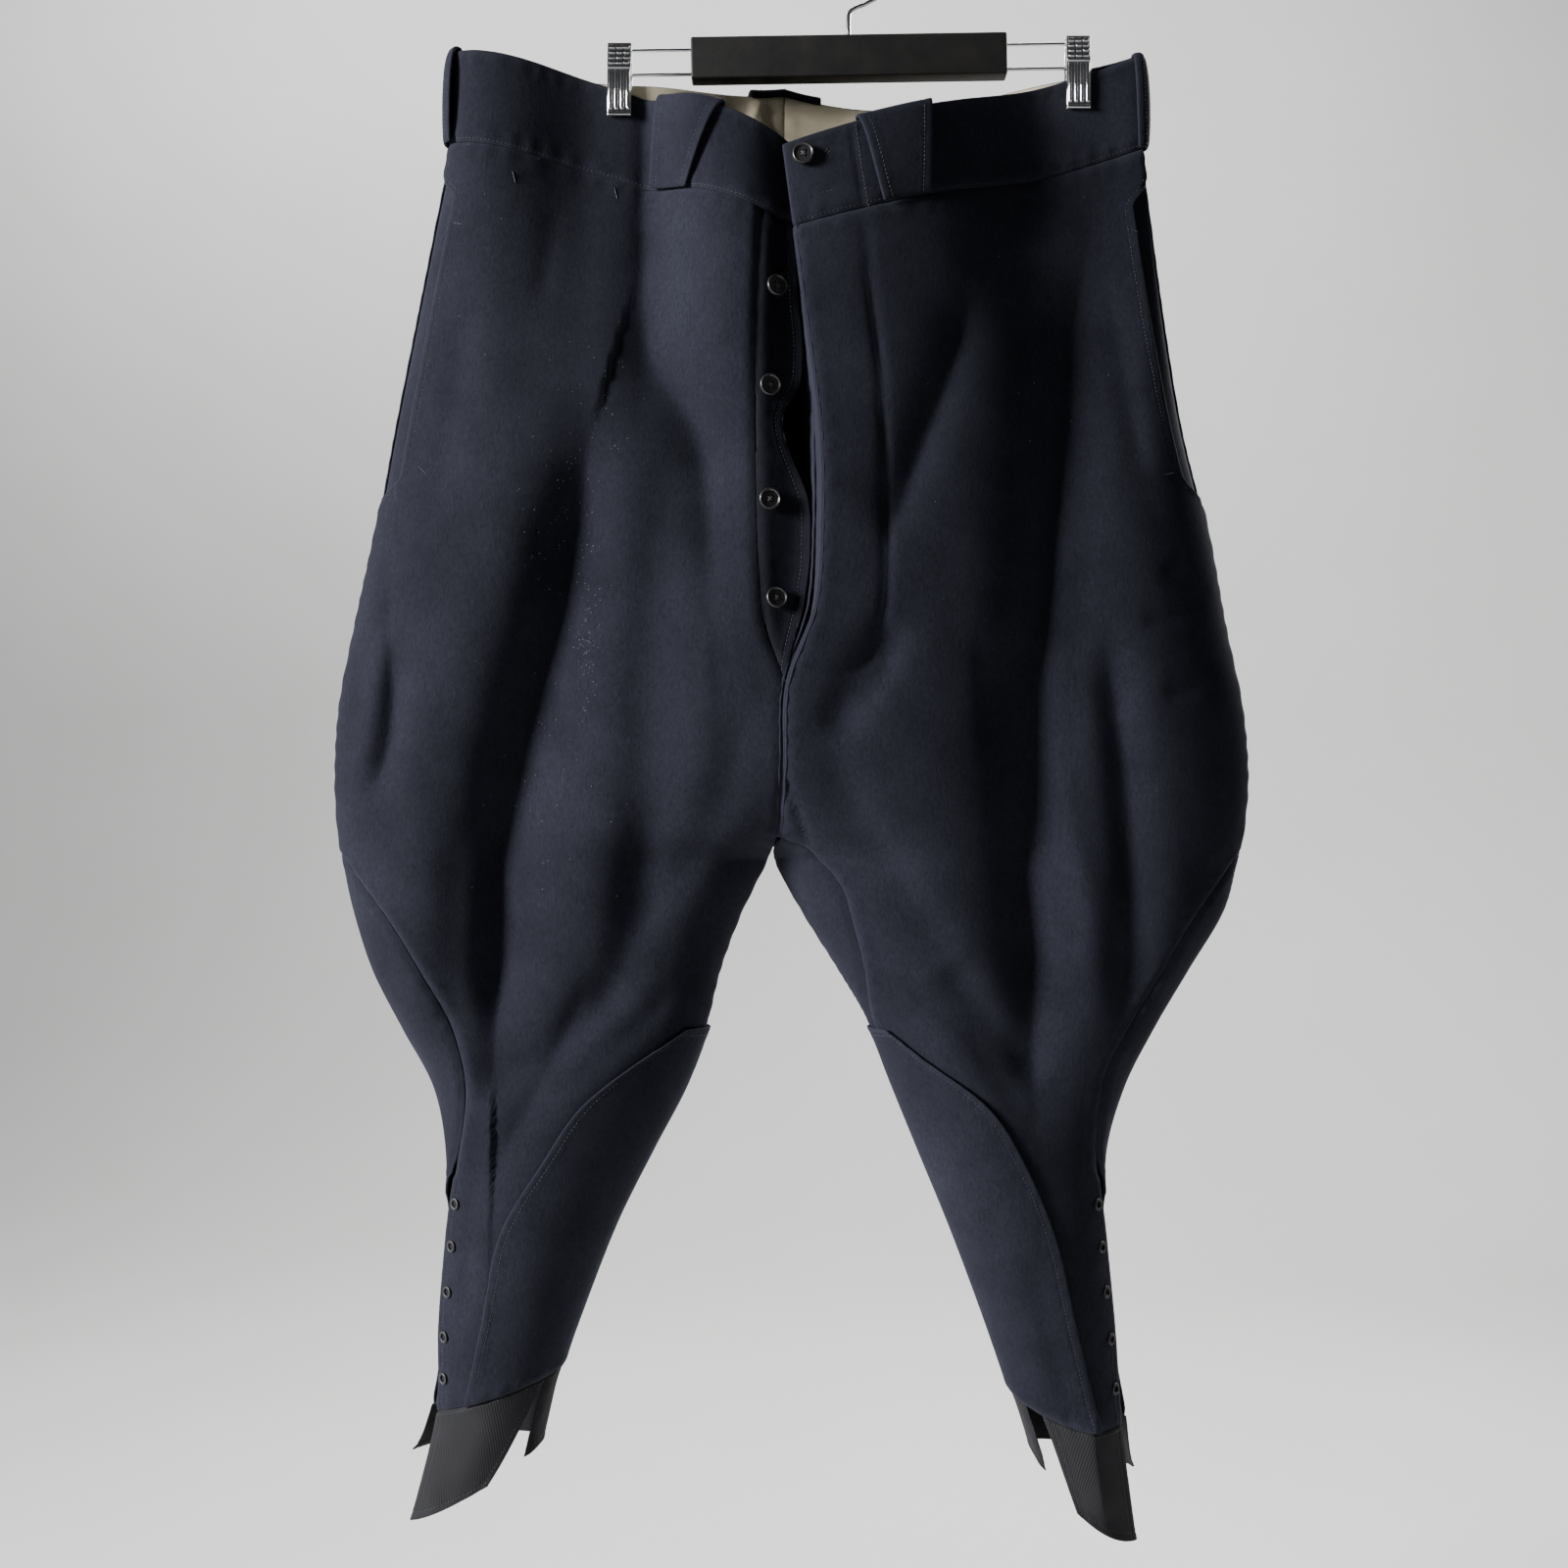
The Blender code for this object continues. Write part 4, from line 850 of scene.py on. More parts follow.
# Waistband. Each half is a doubled band of melton, a front and a back stretch joined at the side, sewn to the
# panels below. The left one ends in a buttonhole, with a second, sewn up one below it.
BAND = 2.4
BAND_FRONT_STEPS = 180
BAND_GROOVES = {
    "left": ((((-1, -148), (4, -182), (9, -212)), 1.6, 1.6, 0.8, 1.3),
             (((-20, -172), (-15, -166)), 1.6, 1.6, 0.5, 1.4),
             (((-28, -198), (-11, -194)), 1.3, 1.3, 0.5, 1.4)),
    "right": ((CLIP_TUCK, 7, 9, 2.2, 1.5),),
}
BAND_NETS = {}
for leg in LEGS:
    rows = np.linspace(0, WAIST_SEAM, 26)
    places = np.concatenate([np.linspace(0, 1, BAND_FRONT_STEPS), np.linspace(-1, -1e-6, 130)[1:]])
    points, normals = leg.net(rows, lambda s: places)
    points = drawn_in(points, SEAM + 0.4 * BAND)
    forms = {"start": "none", "end": "seam", "top": "turned", "hem": "seam"}
    grooves = fold_depth(BAND_GROOVES[leg.name], points[..., 0], points[..., 2])
    grooves = np.where(points[..., 1] < 0, grooves, 0)
    outer = points + normals * (relief(points, forms) - grooves)[..., None]
    BAND_NETS[leg.name] = (rows, outer, normals)
    node = "waistband_" + leg.name
    piece = sheet_of_cloth("cloth_" + node, outer, normals, BAND, WOOL_FINISH, wear(points, forms))
    as_sheet(piece, node)

rows, points, normals = BAND_NETS["left"]
left_band = (rows, points[:, :BAND_FRONT_STEPS], normals[:, :BAND_FRONT_STEPS])
runs = [beside(BAND_NETS[leg.name], "hem", 1.4) for leg in LEGS]
BAND_STITCHING = (((2.5, -150), (7, -182), (12, -211)), ((-28, -197.5), (-11, -193.5)))
runs += [on_net(left_band, line) for line in BAND_STITCHING]
sew("stitches_band", runs)
BUTTONHOLE_SIDES = (((-22.5, -175.5), (-15, -166)), ((-20.5, -176.5), (-13.5, -167.5)))
runs = [on_net(left_band, line, 30) for line in BUTTONHOLE_SIDES]
sew("buttonhole", runs, BLACK_THREAD, 0.9, 2.4, 0.8, 0.35)

# Lining. The back half of the band is lined with unbleached cotton, cut in two and seamed at the centre back.
# It is seen inside the waist, creased and a little yellowed.
CREAM_COTTON = twill("cream_cotton", (0.56, 0.485, 0.345), (0.70, 0.625, 0.47), 330.0, 0.2)
LINING = 1.0
LINING_CREASES = (
    (((-72, -132), (-67, -120), (-63, -106)), 3, 5, 2.2, 1.5),
    (((-64, -136), (-60, -118), (-61, -102)), 2.5, 4, 1.8, 1.5),
    (((-110, -114), (-84, -124), (-52, -120)), 4, 5, 1.4, 1.7),
    (((-34, -112), (-5, -118), (25, -110)), 4, 5, 1.4, 1.7),
    (((-96, -140), (-88, -122), (-86, -106)), 4, 6, 1.3, 1.6),
)
for leg in LEGS:
    rows = np.linspace(0.05, 0.97, 32)
    points, normals = leg.net(rows, lambda s: np.linspace(-0.93, -1e-6, 120))
    points = drawn_in(points, SEAM + 0.5 * LINING)
    creases = fold_depth(LINING_CREASES, points[..., 0], points[..., 2])
    forms = {"start": "none", "end": "seam", "top": "turned", "hem": "seam"}
    outer = points - normals * (BAND + 0.75 + 0.6 * relief(points, forms) + creases)[..., None]
    node = "waist_lining_" + leg.name
    piece = sheet_of_cloth("cloth_" + node, outer, normals, LINING, CREAM_COTTON)
    as_sheet(piece, node)

# Fly. The right front carries the button stand, an underlap of the same melton whose darker colours are
# painted shade, standing in for the deep shade behind the fly; its free edge is buckled between the second
# and third buttons. The left front is faced inside with black twill.
rows = np.linspace(WAIST_SEAM, FLY_END, 120)
edge_rows, edge_places = RIGHT.place(UNDERLAP_EDGE)
points, normals = RIGHT.net(rows, lambda s: np.linspace(glide(s, edge_rows, edge_places), fly_seam(s), 22))
points = drawn_in(points, SEAM + 0.5 * WOOL)
forms = {"start": "turned", "end": "seam", "top": "seam"}
outer = points + normals * relief(points, forms)[..., None]
# The underlap's melton is darker than the rest as painted shade, for the deep shade it lies in behind the
# fly.
UNDERLAP_WOOL_PAINTED_SHADE = melton("unfaded_melton", (0.0045, 0.0048, 0.0080), (0.0080, 0.0085, 0.0135),
                      (0.011, 0.0115, 0.016))
piece = sheet_of_cloth("cloth_fly_underlap", outer, normals, WOOL, UNDERLAP_WOOL_PAINTED_SHADE, wear(points, forms))
as_sheet(piece, "fly_underlap")
sew("stitches_underlap", [beside((rows, outer, normals), "start", STITCHED)])

FACING_WIDE = 0.235
rows = np.linspace(WAIST_SEAM + 0.5, FLY_END - 0.7, 110)
points, normals = LEFT.net(rows, lambda s: FACING_WIDE * np.linspace(0, 1, 26))
points = drawn_in(points, SEAM + 0.5 * COTTON) - normals * (WOOL + 0.45)
BLACK_COTTON = twill("black_cotton_twill", (0.006, 0.006, 0.008), (0.012, 0.012, 0.015), 190.0)
piece = sheet_of_cloth("cloth_fly_facing", points, -directions(points), COTTON, BLACK_COTTON)
as_sheet(piece, "fly_facing")

# Side pockets. The slanted mouth of each one lies beside the outseam, its edge turned in and sewn, with a
# bartack at its ends. A facing of the melton closes it from behind; the pocket's bag is hidden.
for leg in LEGS:
    rows = np.linspace(POCKET_ROWS[0] + 0.1, POCKET_ROWS[1] + 0.2, 90)
    points, normals = leg.net(rows, lambda s: np.linspace(0.78, 0.99, 24))
    points = points - normals * (WOOL + 1.2)
    node = "pocket_facing_" + leg.name
    piece = sheet_of_cloth("cloth_" + node, points, normals, COTTON, WOOL_FINISH)
    as_sheet(piece, node)
BARTACKS = {"right": (((-284, -365), (-278, -371)), ((-262, -203), (-256, -205)),
                      ((-223, -169), (-221, -177)), ((-157, -175), (-155, -183))),
            "left": (((207, -371), (214, -369)), ((186, -203), (193, -205)))}
sew("bartacks", [on_net(NETS["front_" + leg.name], tack, 14) for leg in LEGS for tack in BARTACKS[leg.name]],
    NAVY_THREAD, 0.7, 2.6, 0.9, 0.4)

# Belt loops. Each is a wide strap of doubled melton, folded over the band's top edge and sewn in at its lower
# seam, standing off a little between: two in front, one on each side, one at the centre back.
LOOP = 2.0
# The x of a front loop's two edges at the top, then at the seam.
FRONT_LOOPS = {"right": ((-126, -85), (-132, -107)), "left": ((5, 51), (21, 50))}


def strap(leg, columns, off, bow, inside, flap=16.0):
    """Net of a strap from its sewn lower end up the band, over the top edge and down the inside."""
    down = np.linspace(0.985, 0.0, 34)
    outside, out = leg.net(down, columns)
    hump = bow * np.sin(np.pi * np.linspace(0, 1, len(down))) ** 0.7
    outside = outside + out * (off + hump)[:, None, None]
    base, n = leg.net([0.0, 0.02], columns)
    up = base[0] - base[1]
    up /= np.linalg.norm(up, axis=-1, keepdims=True)
    turn = np.linspace(0, math.pi, 12)[1:, None, None]
    reach = 0.5 * (off + inside)
    centre = base[0] + n[0] * (off - reach)
    over = centre + n[0] * reach * np.cos(turn) + up * 3.4 * np.sin(turn)
    deep = np.linspace(0, flap, 9)[1:, None, None]
    inner = over[-1] - up * deep
    return np.concatenate([outside, over, inner])


def front_loop_columns(leg):
    """The columns of a front loop, which lies askew, between its two edges on row s."""
    top, bottom = FRONT_LOOPS[leg.name]

    def columns(s):
        edges = [leg.a_at(s, top[k] + (bottom[k] - top[k]) * s) for k in (0, 1)]
        return np.linspace(*edges, 34)

    return columns


runs = []
for place in ("front_right", "front_left", "side_right", "side_left", "back"):
    leg = LEFT if place.endswith("left") else RIGHT
    bow, inside = 1.4, BAND + LOOP + 0.4
    if place.startswith("front"):
        net = strap(leg, front_loop_columns(leg), LOOP + 0.9, bow, inside)
    elif place.startswith("side"):
        net = strap(leg, lambda s: np.linspace(0.95, 1.245, 34), LOOP + 0.9, 2.8, inside)
    else:
        inside += LINING + 0.6
        halves = [strap(half, lambda s: np.linspace(-0.076, -1e-6, 18), LOOP + 0.6, bow, inside, 2.0)
                  for half in LEGS]
        net = np.concatenate([halves[0], halves[1][:, -2::-1]], axis=1)
    normals = directions(net)
    if np.dot(normals[10, 17], net[10, 17] - net[-1, 17]) < 0:
        normals = -normals
    forms = {"start": "turned", "end": "turned"}
    net = net + normals * (0.55 * relief(net, forms))[..., None]
    strap_net = (np.linspace(0, 1, len(net)), net, normals)
    runs += [beside(strap_net, edge, STITCHED, 0.0, 0.62) for edge in ("start", "end")]
    piece = sheet_of_cloth("cloth_belt_loop_" + place, net, normals, LOOP, WOOL_FINISH, wear(net, forms))
    as_sheet(piece, "belt_loop_" + place)
sew("stitches_loops", runs)

# Crotch seam. The allowances of the two fronts are pressed open behind the seam, from the fly's end to the
# fork, and lie flat against the inside of the cloth.
rows = np.linspace(FLY_END - 0.25, 9.75, 60)
halves = []
for leg, edge_x in ((RIGHT, -56), (LEFT, -30)):
    halves.append(leg.net(rows, lambda s: np.linspace(0.0, leg.a_at(s, edge_x), 9)))
points = np.concatenate([halves[0][0][:, ::-1], halves[1][0][:, 1:]], axis=1)
normals = np.concatenate([halves[0][1][:, ::-1], halves[1][1][:, 1:]], axis=1)
normals = normals[:, 2:15:12].mean(axis=1, keepdims=True) + 0 * normals
normals /= np.linalg.norm(normals, axis=-1, keepdims=True)
piece = sheet_of_cloth("cloth_crotch_allowance", points - normals * (WOOL + 0.4), normals, 1.4, WOOL_FINISH)
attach(piece, "root")

# Buttons. Five sew-through buttons of black plastic, turned with a raised rim and four holes, each sewn on
# with crossed thread. One closes the waistband and four the fly; all are open here.
BUTTON_ACROSS = 14.0
BUTTON_THICK = 3.0
HOLE_OUT = 1.55  # from the middle to a hole, in x and in y
# Each button's leg, row and x.
BUTTONS = {"button_waist": (LEFT, 0.28, -31.0), "button_fly_1": (RIGHT, 2.1, -49.0),
           "button_fly_2": (RIGHT, 3.4, -53.0), "button_fly_3": (RIGHT, 4.75, -53.0),
           "button_fly_4": (RIGHT, 5.9, -48.8)}


def hard_finish(name, dark, light, rough, metallic=0.0, scale=240.0, dents=0.0001, coat=0.0):
    """Plastic, paint or metal: a fine unevenness, and small changes of colour and gloss."""
    material, shader, add = new_material(name)
    place = add("ShaderNodeTexCoord").outputs["Object"]
    fine = noise(add, place, scale, 4.0, 0.6)
    broad = noise(add, place, 0.12 * scale, 3.0, 0.6)
    link = shader.id_data.links.new
    link(ramp(add, broad, (0.3, dark), (0.7, light)), shader.inputs["Base Color"])
    spread = add("ShaderNodeMapRange", {"Value": fine, "To Min": 0.75 * rough, "To Max": 1.35 * rough})
    link(spread.outputs["Result"], shader.inputs["Roughness"])
    shader.inputs["Metallic"].default_value = metallic
    shader.inputs["Coat Weight"].default_value = coat
    bump(add, shader, (fine, 0.25, dents))
    return material


def pick_faces(piece, test):
    """Select the faces whose centre and direction pass the test, and go to edit mode."""
    bpy.ops.object.mode_set(mode="EDIT")
    bpy.ops.mesh.select_mode(type="FACE")
    bpy.ops.mesh.select_all(action="DESELECT")
    bpy.ops.object.mode_set(mode="OBJECT")
    for face in piece.data.polygons:
        face.select = bool(test(face.center, face.normal))
    bpy.ops.object.mode_set(mode="EDIT")


def modified(piece, kind, **settings):
    """Put a modifier on the active piece and apply it."""
    modifier = piece.modifiers.new("shape", kind)
    for key, value in settings.items():
        setattr(modifier, key, value)
    bpy.ops.object.modifier_apply(modifier=modifier.name)


def placed(name, pattern, matrix, material, nodes):
    """A copy of a pattern piece, its place in the mesh, standing for CAD nodes."""
    mesh = pattern.data.copy()
    mesh.transform(matrix)
    mesh.materials.clear()
    mesh.materials.append(material)
    piece = bpy.data.objects.new(name, mesh)
    bpy.context.scene.collection.objects.link(piece)
    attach(piece, "root")
    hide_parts(*nodes)
    return piece


def set_on(leg, s, a, lift):
    """Matrix that sets a piece made flat about the origin on the cloth, facing outwards, in metres."""
    place, out = leg.face(np.float64(s), np.float64(a))
    turn = Vector(out).to_track_quat("Z", "Y").to_matrix().to_4x4()
    return Matrix.Translation(Vector(place + out * lift) * MM) @ turn


for item in bpy.context.selected_objects:
    item.select_set(False)
bpy.ops.mesh.primitive_cylinder_add(vertices=48, radius=0.5 * BUTTON_ACROSS * MM, depth=BUTTON_THICK * MM,
                                    location=(0, 0, 0.5 * BUTTON_THICK * MM))
button = bpy.context.object
bpy.ops.object.transform_apply(location=True, rotation=True, scale=True)
modified(button, "BEVEL", width=1.1 * MM, segments=4, limit_method="ANGLE")
pick_faces(button, lambda centre, normal: normal.z > 0.9 and centre.z > 0.95 * BUTTON_THICK * MM)
bpy.ops.mesh.inset(thickness=0.25 * MM)
bpy.ops.mesh.inset(thickness=0.9 * MM)
bpy.ops.transform.translate(value=(0, 0, -0.9 * MM))
bpy.ops.mesh.inset(thickness=1.1 * MM)
bpy.ops.transform.translate(value=(0, 0, -0.3 * MM))
bpy.ops.object.mode_set(mode="OBJECT")
for x, y in ((1, 1), (1, -1), (-1, 1), (-1, -1)):
    bpy.ops.mesh.primitive_cylinder_add(vertices=16, radius=0.85 * MM, depth=9 * MM,
                                        location=(x * HOLE_OUT * MM, y * HOLE_OUT * MM, 0))
    drill = bpy.context.object
    bpy.context.view_layer.objects.active = button
    modified(button, "BOOLEAN", operation="DIFFERENCE", object=drill, solver="EXACT")
    bpy.data.objects.remove(drill, do_unlink=True)
button.select_set(True)
bpy.context.view_layer.objects.active = button
bpy.ops.object.shade_smooth_by_angle(angle=math.radians(35))
BUTTON_PLASTIC = hard_finish("black_button_plastic", (0.010, 0.010, 0.011), (0.020, 0.020, 0.021), 0.32,
                             coat=0.2)
runs = []
for node, (leg, s, x) in BUTTONS.items():
    matrix = set_on(leg, s, leg.a_at(s, x), 1.2)
    placed("turned_" + node, button, matrix, BUTTON_PLASTIC, [node])
    turn = matrix.to_3x3()
    for y in (-1, 1):
        ends = [Vector((e * HOLE_OUT, e * y * HOLE_OUT, 1.95)) for e in (-1.15, 1.15)]
        line = np.array([matrix.translation / MM + turn @ end for end in ends])
        runs.append((line, np.array([turn @ Vector((0, 0, 1))] * 2)))
GREY_THREAD = thread_finish("grey_thread", (0.085, 0.085, 0.092))
sew("button_threads", runs, GREY_THREAD, 5.04, 5.0, 0.9, 0.45)
bpy.data.objects.remove(button, do_unlink=True)

# Eyelets. Five pressed rings of blackened brass along each edge of the calf's slit, through which the calf
# would be laced up.
EYELET_ROWS = np.linspace(15.55, 17.63, 5)
EYELET_PLACES = {"front": 0.85, "back": -0.87}
bpy.ops.mesh.primitive_torus_add(major_segments=32, minor_segments=10, major_radius=3.1 * MM,
                                 minor_radius=0.95 * MM)
ring = bpy.context.object
ring.scale = (1, 1, 0.6)
bpy.ops.object.transform_apply(location=True, rotation=True, scale=True)
bpy.ops.object.shade_smooth()
EYELET_METAL = hard_finish("blackened_brass", (0.012, 0.012, 0.014), (0.030, 0.029, 0.028), 0.50, 0.4, 900.0)
for leg in LEGS:
    for k, s in enumerate(EYELET_ROWS):
        for edge, a in EYELET_PLACES.items():
            node = f"eyelet_{edge}_{leg.name}_{k + 1}"
            placed("pressed_" + node, ring, set_on(leg, s, a, 0.75), EYELET_METAL, [node])
bpy.data.objects.remove(ring, do_unlink=True)

# Hanger. A flat bar painted satin black carries a turned wire hook and, at each end, a loop of wire rail on
# which a sprung clip slides.
BAR_LONG = 212.0
BAR_HIGH = 28.0
BAR_DEEP = 13.0
BAR_Z = -86.0
BAR_TILT = math.radians(0.9)
RAIL_ACROSS = 2.4
RAIL_RISE = 8.2
RAIL_DROP = 0.5
HOOK_ACROSS = 3.0
HOOK_RADIUS = 27.0
HOOK_TURN = (138.0, -100.0)
HOOK_BEND = ((0.0, -4.0), (4.0, 0.5), (11.0, 3.2))


def wire(name, line, across, material, nodes):
    """A round wire along points in millimetres, with closed ends."""
    data = bpy.data.curves.new(name, "CURVE")
    data.dimensions = "3D"
    data.bevel_depth = 0.5 * across * MM
    data.bevel_resolution = 5
    data.use_fill_caps = True
    spline = data.splines.new("POLY")
    spline.points.add(len(line) - 1)
    for target, place in zip(spline.points, line):
        target.co = (*(c * MM for c in place), 1)
    curve = bpy.data.objects.new(name + "_line", data)
    bpy.context.scene.collection.objects.link(curve)
    for item in bpy.context.selected_objects:
        item.select_set(False)
    curve.select_set(True)
    bpy.context.view_layer.objects.active = curve
    bpy.ops.object.convert(target="MESH")
    bpy.ops.object.shade_smooth_by_angle(angle=math.radians(40))
    piece = placed(name, curve, Matrix.Identity(4), material, nodes)
    bpy.data.objects.remove(curve, do_unlink=True)
    return piece


CHROME = hard_finish("clip_chrome", (0.74, 0.74, 0.76), (0.86, 0.86, 0.87), 0.13, 1.0, 500.0, 0.00004)
BLACK_PAINT = hard_finish("satin_black_paint", (0.011, 0.011, 0.011), (0.019, 0.018, 0.017), 0.48, 0.0, 420.0,
                          0.00012)
BLACK_PAINT.node_tree.nodes["Principled BSDF"].inputs["Specular IOR Level"].default_value = 0.22
tilt = Matrix.Translation((0, 0, BAR_Z * MM)) @ Matrix.Rotation(-BAR_TILT, 4, "Y")
bpy.ops.mesh.primitive_cube_add(size=1)
bar = bpy.context.object
bar.scale = (BAR_LONG * MM, BAR_DEEP * MM, BAR_HIGH * MM)
bpy.ops.object.transform_apply(location=True, rotation=True, scale=True)
modified(bar, "BEVEL", width=1.4 * MM, segments=4)
bpy.ops.object.shade_smooth_by_angle(angle=math.radians(35))
placed("hanger_black_bar", bar, tilt, BLACK_PAINT, ["hanger_bar"])
bpy.data.objects.remove(bar, do_unlink=True)

for side, way in (("right", -1), ("left", 1)):
    turn = [(CLIP_X + 3 + 0.5 * RAIL_RISE * math.sin(q), RAIL_RISE * math.cos(q))
            for q in np.linspace(0, math.pi, 25)]
    path = [(0.5 * BAR_LONG - 2, RAIL_RISE)] + turn + [(0.5 * BAR_LONG - 2, -RAIL_RISE)]
    rise = way * math.tan(BAR_TILT)
    line = [(way * x, 0, BAR_Z - RAIL_DROP + z + x * rise) for x, z in path]
    wire("wire_rail_" + side, line, RAIL_ACROSS, CHROME, ["hanger_rail_" + side])
stem = [(0, BAR_Z + 0.5 * BAR_HIGH - 2)] + [(x, z - 2 * HOOK_RADIUS) for x, z in HOOK_BEND]
arc = [(HOOK_RADIUS * math.sin(q), HOOK_RADIUS * (math.cos(q) - 1))
       for q in np.linspace(*np.radians(HOOK_TURN), 70)]
line = [(x, 0, z + 0.5 * HOOK_ACROSS) for x, z in list(smooth_line(stem, 20))[:-1] + arc]
wire("wire_hook", line, HOOK_ACROSS, CHROME, ["hanger_hook"])

# Clips. Each has two sprung jaws pressed from chromed sheet: a rib-and-bump grip above, four ribs down the
# lower part and a turned lip along the end that bites the cloth.
CLIP_TOP = -74.0
CLIP_LONG = 50.0
CLIP_WIDE = 16.0
CLIP_SWELL = 17.0
SHEET = 1.3
JAW = {"top": 3.0, "swell": 5.9, "end": 5.6}
LEAN = math.atan2(JAW["swell"] - JAW["top"], CLIP_SWELL)
made = []


def block(x, y, z, wide, deep, high, soft, lean=0.0):
    """A bevelled block about (x, y, z), leaning forward by an angle, in millimetres."""
    bpy.ops.mesh.primitive_cube_add(size=1)
    item = bpy.context.object
    item.scale = (wide * MM, deep * MM, high * MM)
    item.rotation_euler = (lean, 0, 0)
    item.location = (x * MM, y * MM, z * MM)
    bpy.ops.object.transform_apply(location=True, rotation=True, scale=True)
    modified(item, "BEVEL", width=soft * MM, segments=3)
    made.append(item)


def on_grip(down):
    """The y of the grip's outer face at a depth below the clip's top."""
    return -(JAW["top"] + (JAW["swell"] - JAW["top"]) * down / CLIP_SWELL)


block(0, on_grip(8.6) + 0.5 * SHEET, -8.8, CLIP_WIDE, SHEET, CLIP_SWELL + 0.9, 0.4, -LEAN)
block(0, -JAW["end"] + 0.5 * SHEET, -0.5 * (CLIP_SWELL + CLIP_LONG), CLIP_WIDE, SHEET, CLIP_LONG - CLIP_SWELL,
      0.4)
for row in range(4):
    for x in (-4.9, 0, 4.9):
        block(x, on_grip(3 + 3.7 * row) - 0.2, -3 - 3.7 * row, 3.9, 1.3, 2.7, 0.55, -LEAN)
for x in (-5.9, -1.97, 1.97, 5.9):
    block(x, -JAW["end"] - 0.25, -32.6, 2.5, 1.7, 26.5, 0.75)
block(0, -JAW["end"] - 0.1, -17.6, CLIP_WIDE, 1.7, 1.6, 0.5)
block(0, -JAW["end"] + 0.1, -48.6, CLIP_WIDE, 2.4, 2.6, 0.8)
for item in made:
    item.select_set(True)
bpy.context.view_layer.objects.active = made[0]
bpy.ops.object.join()
jaw = bpy.context.object
bpy.ops.object.shade_smooth_by_angle(angle=math.radians(35))
for side, way in (("right", -1), ("left", 1)):
    top = CLIP_TOP + way * CLIP_X * math.tan(BAR_TILT)
    where = Matrix.Translation((way * CLIP_X * MM, 0, top * MM))
    for face, turn in (("front", 0.0), ("back", math.pi)):
        placed(f"ribbed_clip_{face}_{side}", jaw, where @ Matrix.Rotation(turn, 4, "Z"), CHROME,
               [f"clip_{face}_{side}"])
bpy.data.objects.remove(jaw, do_unlink=True)

# Lint. Pale fibres are caught in the nap, thickest by the deep trough of the right thigh. Each spot has its
# middle (x, z), its width and height, and its number of fibres.
LINT_SPOTS = (((-171, -480), 9, 44, 90), ((-185, -395), 26, 50, 60), ((-165, -330), 30, 50, 34),
              ((-200, -560), 40, 70, 40), ((110, -330), 90, 160, 14), ((-240, -250), 50, 90, 10))
LINT = thread_finish("lint_fibre", (0.36, 0.37, 0.39), 0.8)
chance = np.random.default_rng(7)
runs = []
for (x, z), wide, high, count in LINT_SPOTS:
    spots = np.stack([chance.normal(x, 0.6 * wide, count), chance.normal(z, 0.6 * high, count)], axis=-1)
    for spot in spots:
        net = NETS["front_right" if spot[0] < -60 else "front_left"]
        angle = chance.uniform(0, math.pi)
        way = 0.5 * chance.uniform(0.5, 1.0) * np.array([math.cos(angle), math.sin(angle)])
        line, out = on_net(net, (spot - way, spot + way), 2)
        runs.append((line + out * 0.12, out))
sew("lint", runs, LINT, 0.4, 0.42, 0.26, 0.12)

# Camera. It stands level in front of the breeches, a little to the wearer's right of the hook, and the
# lens takes in 53 degrees, so the hook's top is just outside the frame.
camera_data = bpy.data.cameras.new("camera")
camera_data.sensor_width = 36.0
camera_data.lens = 35.97
camera = bpy.data.objects.new("camera", camera_data)
bpy.context.scene.collection.objects.link(camera)
camera.location = (-0.0436, -1.055, -0.5742)
camera.rotation_euler = (0.5 * math.pi, 0, 0)
bpy.context.scene.camera = camera

# Studio. A pale floor sweeps up into a pale wall well behind, lit by one soft light from the upper left, a
# weak one from the right, one on the wall, and one for the views from behind. Sizes are in metres.
FLOOR_Z = -1.32
WALL_Y = 2.15
SWEEP_RADIUS = 0.9


def studio_light(name, place, aim, size, watts, spread=math.pi):
    """A rectangular soft light at a place, turned to what it lights."""
    data = bpy.data.lights.new(name, "AREA")
    data.shape = "RECTANGLE"
    data.size, data.size_y = size
    data.energy = watts
    data.spread = spread
    lamp = bpy.data.objects.new(name, data)
    bpy.context.scene.collection.objects.link(lamp)
    lamp.location = place
    lamp.rotation_euler = (Vector(aim) - Vector(place)).to_track_quat("-Z", "Y").to_euler()


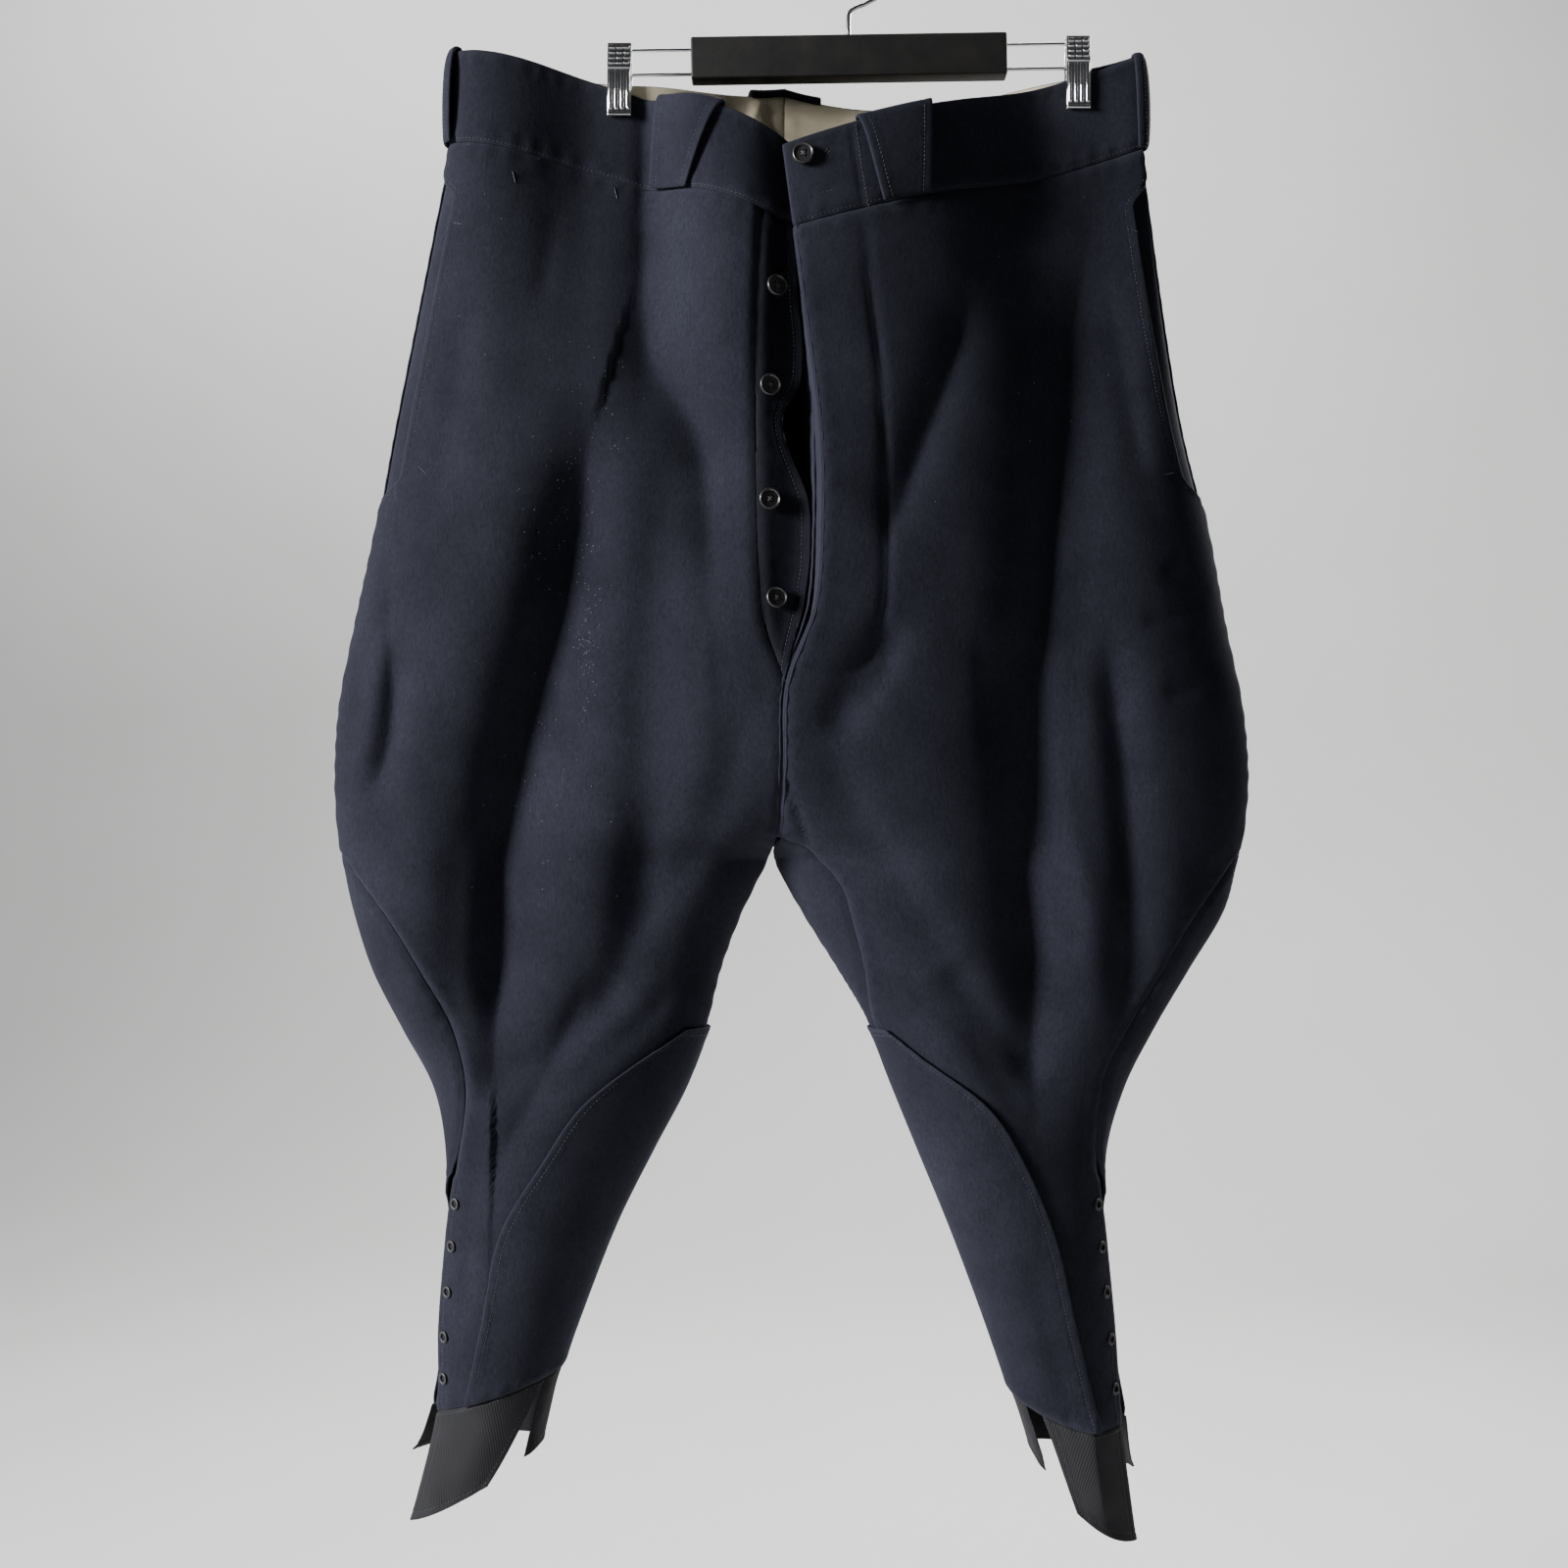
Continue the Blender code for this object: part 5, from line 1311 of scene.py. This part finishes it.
profile = [(-4.0, 0.0), (0.0, 0.0)]
profile += [(WALL_Y - SWEEP_RADIUS * (1 - math.sin(q)), SWEEP_RADIUS * (1 - math.cos(q)))
            for q in np.linspace(0, 0.5 * math.pi, 33)]
profile += [(WALL_Y, 2.0), (WALL_Y, 4.2)]
count = len(profile)
sweep_mesh = bpy.data.meshes.new("studio_floor")
sweep_mesh.from_pydata([(x, y, FLOOR_Z + z) for x in (-5.0, 5.0) for y, z in profile], [],
                       [(k, k + 1, k + 1 + count, k + count) for k in range(count - 1)])
sweep_mesh.shade_smooth()
plaster, shader, add = new_material("pale_floor")
place = add("ShaderNodeTexCoord").outputs["Object"]
pale = ramp(add, noise(add, place, 3.0), (0.3, (0.76, 0.76, 0.75)), (0.7, (0.79, 0.79, 0.785)))
shader.id_data.links.new(pale, shader.inputs["Base Color"])
shader.inputs["Roughness"].default_value = 0.9
sweep_mesh.materials.append(plaster)
floor = bpy.data.objects.new("studio_floor", sweep_mesh)
bpy.context.scene.collection.objects.link(floor)

studio_light("key_light", (-4.6, -1.75, 0.75), (0, 0, -0.58), (1.2, 1.9), 66, spread=0.8)
studio_light("fill_light", (1.9, -1.9, 0.5), (0, 0, -0.6), (1.5, 2.0), 0.8)
studio_light("wall_light", (-0.2, 0.9, 1.35), (0, WALL_Y, -0.3), (3.2, 0.5), 62)
studio_light("back_light", (1.5, 1.3, 0.6), (0, 0, -0.55), (1.2, 1.2), 18, spread=1.4)

# Past the floor's edges the surroundings look pale, and they light the troughs only weakly.
world = bpy.data.worlds.new("studio_world")
bpy.context.scene.world = world
world.use_nodes = True
tree = world.node_tree
surroundings = tree.nodes["Background"]
surroundings.inputs["Color"].default_value = (0.86, 0.88, 0.90, 1.0)
light_path = tree.nodes.new("ShaderNodeLightPath")
strength = tree.nodes.new("ShaderNodeMapRange")
strength.inputs["To Min"].default_value = 0.05
strength.inputs["To Max"].default_value = 0.5
tree.links.new(light_path.outputs["Is Camera Ray"], strength.inputs["Value"])
tree.links.new(strength.outputs["Result"], surroundings.inputs["Strength"])

bpy.context.view_layer.update()
